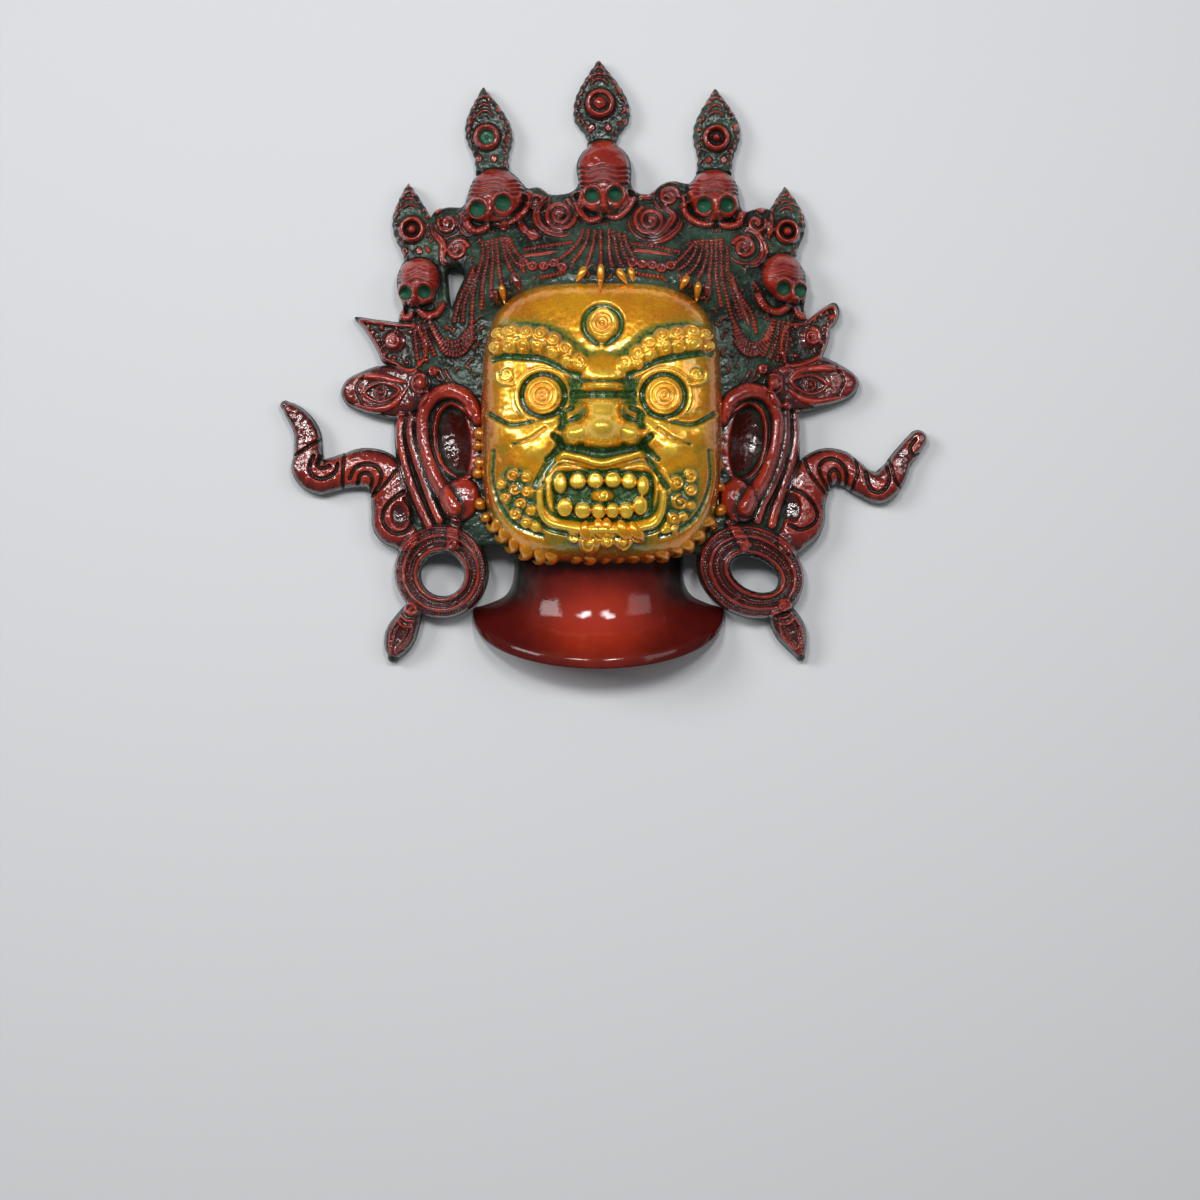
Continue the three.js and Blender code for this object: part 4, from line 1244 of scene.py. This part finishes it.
def neck_lacquer():
    """Smooth deep lacquer, with a painted pool of light bright red in the middle, and grey patina and painted
    shade, dark and matt-looking, towards the sides and up under the chin.
    """
    n = Nodes("neck_lacquer")
    blotch = n.noise(60, 5)
    # Painted light: the red brightens in a pool in the middle of the neck.
    warm = n.math("ADD", n.value("painted_light_pool"), n.math("MULTIPLY", n.math("SUBTRACT", blotch, 0.5), 0.45))
    red = n.mix(n.remap(warm, 0.0, 0.95), (0.070, 0.005, 0.004), (0.34, 0.024, 0.009))
    # Grey patina mixed with painted shade towards the sides and the top.
    grey_patina_and_shade = n.mix(n.remap(blotch, 0.3, 0.7), (0.020, 0.017, 0.017), (0.055, 0.055, 0.052))
    n.set(Base_Color=n.mix(n.value("grey_patina_and_shade"), red, grey_patina_and_shade), Specular_IOR_Level=0.05, Roughness=0.5)
    n.set(Coat_Weight=1.0, Coat_Roughness=0.03, Coat_IOR=1.34)
    n.bump(n.noise(350, 4), 0.25, 0.0003)
    return n.material


def raw_back():
    """Dull cast metal, brown with a little green."""
    n = Nodes("raw_back")
    blotch = n.noise(40, 5)
    brown = n.mix(n.remap(n.noise(200, 4), 0.3, 0.7), (0.045, 0.028, 0.016), (0.12, 0.075, 0.038))
    n.set(Base_Color=n.mix(n.remap(blotch, 0.52, 0.72), brown, (0.045, 0.075, 0.055)), Metallic=0.6)
    n.set(Roughness=n.remap(blotch, 0.3, 0.7, 0.45, 0.65))
    n.bump(n.noise(300, 5), 0.5, 0.0006)
    return n.material


RED = red_lacquer()
GOLD = gold_face()
NECK = neck_lacquer()
RAW = raw_back()

# ---------------------------------------------------------------- surround: meshes


def surround_values():
    fine = 1.3 / SURROUND_PITCH
    rise = surround.height - blurred(surround.height, inside_now, 2 * fine)
    level = np.maximum(surround.height, 3 * surround.paint)
    return {"rise": rise, "level": np.where(surround.paint < 0, -1, level)}


def make_surround():
    under_face = face_radius(surround.grid_x, surround.grid_y) < UNDER_FACE
    reach = 0.6 * SURROUND_PITCH
    near_solid = (surround.inside > -reach) & ~under_face
    keep = near_solid[:-1, :-1] & near_solid[:-1, 1:] & near_solid[1:, 1:] & near_solid[1:, :-1]
    quads = grid_quads(keep)
    x, y = surround.grid_x.ravel().copy(), surround.grid_y.ravel().copy()
    edges = border_edges(quads)
    rim = np.unique(edges)
    rim = rim[surround.inside.ravel()[rim] < 2 * SURROUND_PITCH]
    slope_y, slope_x = np.gradient(surround.inside, SURROUND_PITCH)
    for _ in range(3):
        gap = surround.sample(surround.inside, x[rim], y[rim])
        gx = surround.sample(slope_x, x[rim], y[rim])
        gy = surround.sample(slope_y, x[rim], y[rim])
        size = np.maximum(gx**2 + gy**2, 0.25)
        x[rim] -= np.clip(gap / size, -0.5, 0.5) * gx
        y[rim] -= np.clip(gap / size, -0.5, 0.5) * gy
    z = surround_z.ravel().copy()
    z[rim] = surround.sample(surround_z, x[rim], y[rim])
    down_y, down_x = np.gradient(surround_z, SURROUND_PITCH)
    normals = np.column_stack([-down_x.ravel(), -down_y.ravel(), np.ones(x.size)])
    points = np.column_stack([x, y, z])
    values = {key: field.ravel() for key, field in surround_values().items()}
    centre = points[quads].mean(axis=1)
    crown_part = centre[:, 1] > CROWN_FOOT
    left_part = ~crown_part & (centre[:, 0] < FACE_X)
    for name, part in (("crown", crown_part), ("left_side", left_part),
                       ("right_side", ~crown_part & ~left_part)):
        make_mesh(name, *compact(points, quads[part], normals, values), RED)
    outer = edges[np.isin(edges, rim).all(axis=1)]
    outward_x = -surround.sample(slope_x, x[outer], y[outer])
    outward_y = -surround.sample(slope_y, x[outer], y[outer])
    wall_points, wall_normals, level = [], [], []
    for height, inset, lean in ((1.0, 0.0, 0.5), (0.55, -0.15, 0.0), (0.0, 0.35, -0.2)):
        wall_points.append(np.stack(
            [x[outer] - inset * outward_x, y[outer] - inset * outward_y, z[outer] * height], axis=-1))
        wall_normals.append(np.stack([outward_x, outward_y, np.full(outer.shape, lean)], axis=-1))
        level.append(np.full(outer.shape, 0.9 * height))
    count = len(outer)
    points = np.concatenate([p.reshape(-1, 3) for p in wall_points])
    normals = np.concatenate([p.reshape(-1, 3) for p in wall_normals])
    base = np.arange(count) * 2
    ring = 2 * count
    walls = np.concatenate([
        np.stack([base + row * ring + ring, base + row * ring + ring + 1, base + row * ring + 1,
                  base + row * ring], axis=-1)
        for row in (0, 1)])
    shade = {"level": np.concatenate([v.ravel() for v in level]), "rise": np.zeros(len(points))}
    make_mesh("outer_edge", points, walls, normals, shade, RED)


make_surround()


# ---------------------------------------------------------------- face mesh


def face_grid():
    """The dome's grid: plan position, height and outward normal at each node.

    The cells are spread by the distance travelled over the dome, in which its steep side counts for less.
    """
    fine = np.linspace(0, FACE_EDGE, 8001)
    depth = FACE_DEPTH * (1 - fine**FACE_SIDE) ** (1 / FACE_SIDE)
    step = np.hypot(np.diff(fine) * 85, np.diff(depth) * 0.28)
    travelled = np.concatenate([[0], np.cumsum(step)])
    travelled /= travelled[-1]
    t = np.linspace(-1, 1, FACE_CELLS + 1)
    s, t = np.meshgrid(t, t)
    size = np.maximum(np.abs(s), np.abs(t))
    plan = np.maximum((np.abs(s) ** FACE_PLAN + np.abs(t) ** FACE_PLAN) ** (1 / FACE_PLAN), 1e-9)
    radius = np.interp(size, travelled, fine)
    u, v = s / plan * radius, t / plan * radius
    x = FACE_X + FACE_HALF_WIDTH * u
    y = FACE_Y + FACE_HALF_HEIGHT * v
    points = np.stack([x, y, face_height(x, y)], axis=-1)
    normal = np.cross(np.gradient(points, axis=1), np.gradient(points, axis=0))
    return points, normal / np.maximum(np.linalg.norm(normal, axis=-1, keepdims=True), 1e-9)


def make_face_mesh():
    points, normal = face_grid()
    x, y = points[..., 0], points[..., 1]
    offset = face.sample(face.height, x, y) * ease(0.02, 0.35, normal[..., 2])
    lift = normal * offset[..., None]
    points = points + lift
    across = np.gradient(points, axis=1)
    up = np.gradient(points, axis=0)
    shading = np.cross(across, up)
    ones = np.ones(face.height.shape)
    fine = face.height - blurred(face.height, ones, 1.8 / face.pitch)
    broad = face.height - blurred(face.height, ones, 6 / face.pitch)
    rise = 0.75 * fine + 0.35 * broad
    # Painted shade: how much browner the gold is painted at the face's sides and the forehead's top corners.
    painted_side_shade = ease(58, 78, np.abs(x - FACE_X)) * 0.8
    painted_side_shade = np.maximum(painted_side_shade, ease(40, 62, np.abs(x - FACE_X)) * ease(22, 38, y) * 0.7)
    values = {"rise": face.sample(rise - 0.85 * face.paint, x, y).ravel(), "painted_side_shade": painted_side_shade.ravel()}
    quads = grid_quads(np.ones((FACE_CELLS, FACE_CELLS), bool))
    points = points.reshape(-1, 3)
    level = points[quads][:, :, 1].mean(axis=1)
    for name, part in (("face_upper", level > FACE_SPLIT), ("face_lower", level <= FACE_SPLIT)):
        make_mesh(name, *compact(points, quads[part], shading.reshape(-1, 3), values), GOLD)


make_face_mesh()

# ---------------------------------------------------------------- claws, side tufts and beard


def hooks(name, lines, material, values):
    """Tapered round bars. Each point of a line is x, y, z and radius."""
    sides = 12
    points, quads = [], []
    for line in lines:
        path = smooth(line, step=0.9)
        along = np.gradient(path[:, :3], axis=0)
        along /= np.linalg.norm(along, axis=1)[:, None]
        first = np.cross(along, [0.31, 0.12, 0.94])
        first /= np.linalg.norm(first, axis=1)[:, None]
        second = np.cross(along, first)
        turn = np.linspace(0, 2 * np.pi, sides, endpoint=False)
        t = np.linspace(0, 1, len(path))
        size = path[:, 3] * (np.sin(np.pi * np.clip(t, 0.004, 0.996) ** 0.75) ** 0.55)
        ring = (path[:, None, :3] + size[:, None, None] * (
            np.cos(turn)[None, :, None] * first[:, None] + np.sin(turn)[None, :, None] * second[:, None]))
        base = sum(len(p) for p in points)
        points.append(ring.reshape(-1, 3))
        row = base + np.arange(len(path) - 1)[:, None] * sides
        here, there = np.arange(sides), (np.arange(sides) + 1) % sides
        quads.append(np.stack([row + here, row + there, row + sides + there, row + sides + here],
                              axis=-1).reshape(-1, 4))
    points, quads = np.concatenate(points), np.concatenate(quads)
    fields = {key: np.full(len(points), value) for key, value in values.items()}
    make_mesh(name, points, quads, None, fields, material)


def surface_height(x, y):
    return float(np.maximum(face_height(x, y), ground_height(x, y)))


def claw(root, tip, radius):
    """A claw that hangs over the top edge of the forehead."""
    line = []
    for t in np.linspace(-0.25, 1, 6):
        x, y = root[0] + t * (tip[0] - root[0]), root[1] + t * (tip[1] - root[1])
        rest = max(surface_height(x, y), surface_height(*tip) - 8)
        line.append((x, y, rest + 2.6 - 1.2 * t, radius * (1 - 0.4 * t)))
    return line


GOLD_CLAWS = [((-13.4, 56.3), (-18.5, 48.5), 2.9), ((-2.5, 56), (-3, 41), 2.7), ((9.7, 55), (14.5, 47), 2.9),
              ((17, 56), (18.5, 48.5), 2.6), ((53.1, 50.7), (48.9, 43.6), 2.9), ((60.6, 46), (59.7, 36), 2.6),
              ((-66.6, 44.5), (-65.2, 35.1), 2.5)]
RED_CLAWS = [((-58, 52), (-54.6, 42.2), 3.4), ((66.5, 45.5), (68.2, 37), 2.7), ((-71, 42), (-70, 34), 2.2)]


def tuft(x, y, side, size):
    """A gold curl that stands out of the face's side."""
    z = TUFT_Z
    return [(x - side * 2, y + 1.5, z + 4, size * 0.9), (x - side * 1, y + 1, z + 4, size * 1.05),
            (x + side * 2, y - 1, z + 1, size), (x + side * 2.6, y - 3.5, z - 4, size * 0.7)]


TUFTS = [(-80.5, -49, -1, 4.4), (-82, -57, -1, 3.4), (-81, -68, -1, 3.8), (-82, -75, -1, 3.6),
         (-80.5, -95, -1, 4.2),
         (-77, -104, -1, 3.2), (72.5, -50, 1, 4.4), (74, -58, 1, 3.2), (73.5, -70, 1, 4), (75, -84, 1, 3.2),
         (75, -99, 1, 4.2), (70, -108, 1, 3.2)]


def beard_curl(x, y, angle, size, z=BEARD_Z):
    """A curl of beard hanging over the jaw's edge, turning away at its tip."""
    c, s = np.cos(np.radians(angle)), np.sin(np.radians(angle))
    return [(x - 9 * c, y - 9 * s, z + 9, size * 0.8), (x - 3 * c, y - 3 * s, z + 8, size),
            (x + 2 * c - 2.5 * s, y + 2 * s + 2.5 * c, z + 3, size * 0.95),
            (x + 5 * c - 0.5 * s, y + 5 * s + 0.5 * c, z - 3, size * 0.8),
            (x + 5 * c + 3 * s, y + 5 * s - 3 * c, z - 7, size * 0.5)]


# Across, up, direction in degrees and thickness of each curl round the jaw.
BEARD = [(-71, -108, 200, 3.6), (-66, -114, 220, 4.4), (-60, -121, 228, 3.8), (-52, -125, 240, 4.8),
         (-43, -128, 252, 4.2), (-36, -128, 262, 4.8), (-19, -127, 250, 4.6), (-11, -128, 272, 5.2),
         (-1, -127, 268, 4.8), (8, -127, 272, 4.6), (17, -127, 285, 5.2), (27, -127, 276, 4.4),
         (36, -127, 284, 4.8), (45, -124, 296, 4.4), (52, -122, 302, 4.6), (59, -116, 314, 4.4),
         (66, -108, 325, 3.8)]
CHIN_CURLS = [(-13, -116, 262, 4.2), (-4, -114, 268, 4.4), (2, -114, 275, 4.4), (12, -115, 285, 4.6),
              (20, -116, 290, 3.8)]

# The claws, tufts and curls get a fixed amount of painted side shade, most on the tufts at the face's sides.
hooks("gold_claws", [claw(*c) for c in GOLD_CLAWS], GOLD, {"rise": 0.3, "painted_side_shade": 0.25})
hooks("red_claws", [claw(*c) for c in RED_CLAWS], RED, {"rise": 0.3, "level": 3})
hooks("side_tufts", [tuft(*t) for t in TUFTS], GOLD, {"rise": 0.1, "painted_side_shade": 0.55})
curls = [beard_curl(*b) for b in BEARD] + [beard_curl(*b, z=CHIN_Z) for b in CHIN_CURLS]
hooks("beard_curls", curls, GOLD, {"rise": 0.2, "painted_side_shade": 0.1})

# ---------------------------------------------------------------- neck

# Half-width, level and height of the half bell, from under the chin to the rim.
NECK_PROFILE = [
    (57, -92, 44), (57, -104, 40.5), (57, -115, 37.8), (56.6, -126, 36.2), (56.8, -138, 35.8),
    (58.4, -148, 37.2), (63, -155, 40.5), (72, -159.5, 46), (83.5, -163, 51.6), (84.3, -164.5, 52),
    (84, -170, 52), (83, -170.4, 51.4),
]


def neck_surface(inset):
    """A half bell lying on its open side, leaning forward. Inset gives its inner face."""
    line = smooth(NECK_PROFILE, step=1.4)
    along = np.gradient(line[:, :2], axis=0)
    along /= np.hypot(along[:, 0], along[:, 1])[:, None]
    inner = 1 - inset / line[:, :1] * np.abs(along[:, 1:2])
    turn = np.linspace(0, np.pi, NECK_FACETS + 1)
    z = line[:, 2:3] * inner * np.sin(turn)
    x = NECK_X - line[:, :1] * inner * np.cos(turn)
    y = line[:, 1:2] - inset * along[:, :1] - NECK_LEAN * z
    return np.stack([x, y, z], axis=-1)


def make_neck():
    outer = neck_surface(0.0)
    inner = neck_surface(NECK_WALL)
    shell = np.concatenate([outer, inner[::-1]])
    shell[..., 2] = np.maximum(shell[..., 2], 0)
    quads = grid_quads(np.ones((shell.shape[0] - 1, NECK_FACETS), bool))[:, ::-1]
    points = shell.reshape(-1, 3)
    x, y, z = points.T
    # Painted light: a pool of brighter red low in the middle of the neck. Patina and painted shade: dark grey
    # towards the sides and up under the chin.
    painted_light_pool = 0.9 * np.exp(-(((x - NECK_X) / 40) ** 2) - ((y + 172) / 27) ** 2)
    grey_patina_and_shade = ease(32, 56, np.abs(x - NECK_X)) * ease(-165, -148, y)
    values = {"painted_light_pool": painted_light_pool, "grey_patina_and_shade": np.maximum(grey_patina_and_shade, ease(-140, -128, y) * 0.6)}
    piece = make_mesh("neck", points, quads, None, values, NECK)
    piece.data.shade_smooth()


make_neck()

# ---------------------------------------------------------------- back


def make_back():
    """The underside: a flat rim, and the hollow up inside the surround and the face."""
    every = int(BACK_PITCH / SURROUND_PITCH)
    inside = surround.inside[::every, ::every]
    x, y = surround.grid_x[::every, ::every].ravel().copy(), surround.grid_y[::every, ::every].ravel().copy()
    keep_node = inside > -0.3
    keep = keep_node[:-1, :-1] & keep_node[:-1, 1:] & keep_node[1:, 1:] & keep_node[1:, :-1]
    quads = grid_quads(keep)
    rim = np.unique(border_edges(quads))
    slope_y, slope_x = np.gradient(surround.inside, SURROUND_PITCH)
    for _ in range(4):
        gap = surround.sample(surround.inside, x[rim], y[rim]) - 0.4
        gx = surround.sample(slope_x, x[rim], y[rim])
        gy = surround.sample(slope_y, x[rim], y[rim])
        x[rim] -= np.clip(gap, -1, 1) * gx
        y[rim] -= np.clip(gap, -1, 1) * gy
    across = np.abs((x - HALO_X) / (HALO_HALF_WIDTH - BACK_RIM))
    up = np.abs((y - HALO_Y) / (HALO_HALF_HEIGHT - BACK_RIM))
    halo = (across**HALO_POWER + up**HALO_POWER) ** (1 / HALO_POWER)
    deep = surround.sample(surround.inside, x, y)
    room = np.minimum(ease(4, 7.5, deep), ease(1.0, 0.97, halo))
    under = ground_height(x, y) - WALL
    for parts in EARS:
        bx, by, rx, ry, _ = parts["bowl"]
        bowl = np.clip(1.5 - ((x - bx) / rx) ** 2 - ((y - by) / ry) ** 2, 0, 1)
        under = np.minimum(under, EAR_BACK - EAR_BOWL * np.sqrt(bowl))
    dome = face_height(FACE_X + INNER_DOME * (x - FACE_X), FACE_Y + INNER_DOME * (y - FACE_Y)) - WALL - 3
    z = np.maximum(np.maximum(under, 0) * room, dome)
    points = np.column_stack([x, y, z])
    grid = points.reshape(*inside.shape, 3)
    shading = -np.cross(np.gradient(grid, axis=1), np.gradient(grid, axis=0)).reshape(-1, 3)
    make_mesh("hollow_back", *compact(points, quads[:, ::-1], shading, {}), RAW)


make_back()

# ---------------------------------------------------------------- floor, lights and camera

FRAME_X, FRAME_Y = -3 * MM, -157.7 * MM  # middle of the frame: under the middle of the neck
CAMERA_HEIGHT = 1.8
FLOOR_REACH, FLOOR_LEVEL = 3.0, -0.2 * MM  # the floor is just clear of the mask's back


def make_floor():
    mesh = bpy.data.meshes.new("floor")
    signs = ((-1, -1), (1, -1), (1, 1), (-1, 1))
    corners = [(x * FLOOR_REACH, y * FLOOR_REACH, FLOOR_LEVEL) for x, y in signs]
    mesh.from_pydata(corners, [], [(0, 1, 2, 3)])
    material = bpy.data.materials.new("pale_floor")
    material.use_nodes = True
    shader = material.node_tree.nodes["Principled BSDF"]
    shader.inputs["Base Color"].default_value = (0.66, 0.67, 0.69, 1)
    shader.inputs["Roughness"].default_value = 0.9
    mesh.materials.append(material)
    floor = bpy.data.objects.new("floor", mesh)
    bpy.context.collection.objects.link(floor)


def softbox(name, place, aim, width, height, power):
    light = bpy.data.lights.new(name, "AREA")
    light.shape = "RECTANGLE"
    light.size, light.size_y = width, height
    light.energy = power
    lamp = bpy.data.objects.new(name, light)
    bpy.context.collection.objects.link(lamp)
    lamp.location = place
    direction = np.array(aim) - np.array(place)
    lamp.rotation_euler = Vector(direction).to_track_quat("-Z", "Y").to_euler()


def make_lights():
    middle = (0, -0.03, 0.03)
    softbox("left_box", (-0.33, 0.36, 1.65), middle, 0.15, 0.32, 9)
    softbox("right_box", (0.21, 0.36, 1.65), middle, 0.15, 0.32, 8)
    softbox("key", (-2.6, 1.0, 2.7), middle, 1.4, 1.4, 60)
    softbox("fill", (2.4, 0.6, 3.2), middle, 1.6, 1.6, 20)
    world = bpy.data.worlds.new("studio")
    bpy.context.scene.world = world
    world.use_nodes = True
    background = world.node_tree.nodes["Background"]
    background.inputs["Color"].default_value = (0.97, 0.98, 1.0, 1)
    background.inputs["Strength"].default_value = 0.12


def make_camera():
    data = bpy.data.cameras.new("camera")
    data.sensor_width = 36
    data.lens = 80.46
    camera = bpy.data.objects.new("camera", data)
    bpy.context.collection.objects.link(camera)
    camera.location = (FRAME_X, FRAME_Y, CAMERA_HEIGHT)
    camera.rotation_euler = (0, 0, 0)
    bpy.context.scene.camera = camera


make_floor()
make_lights()
make_camera()
bpy.context.scene.view_settings.view_transform = "Standard"
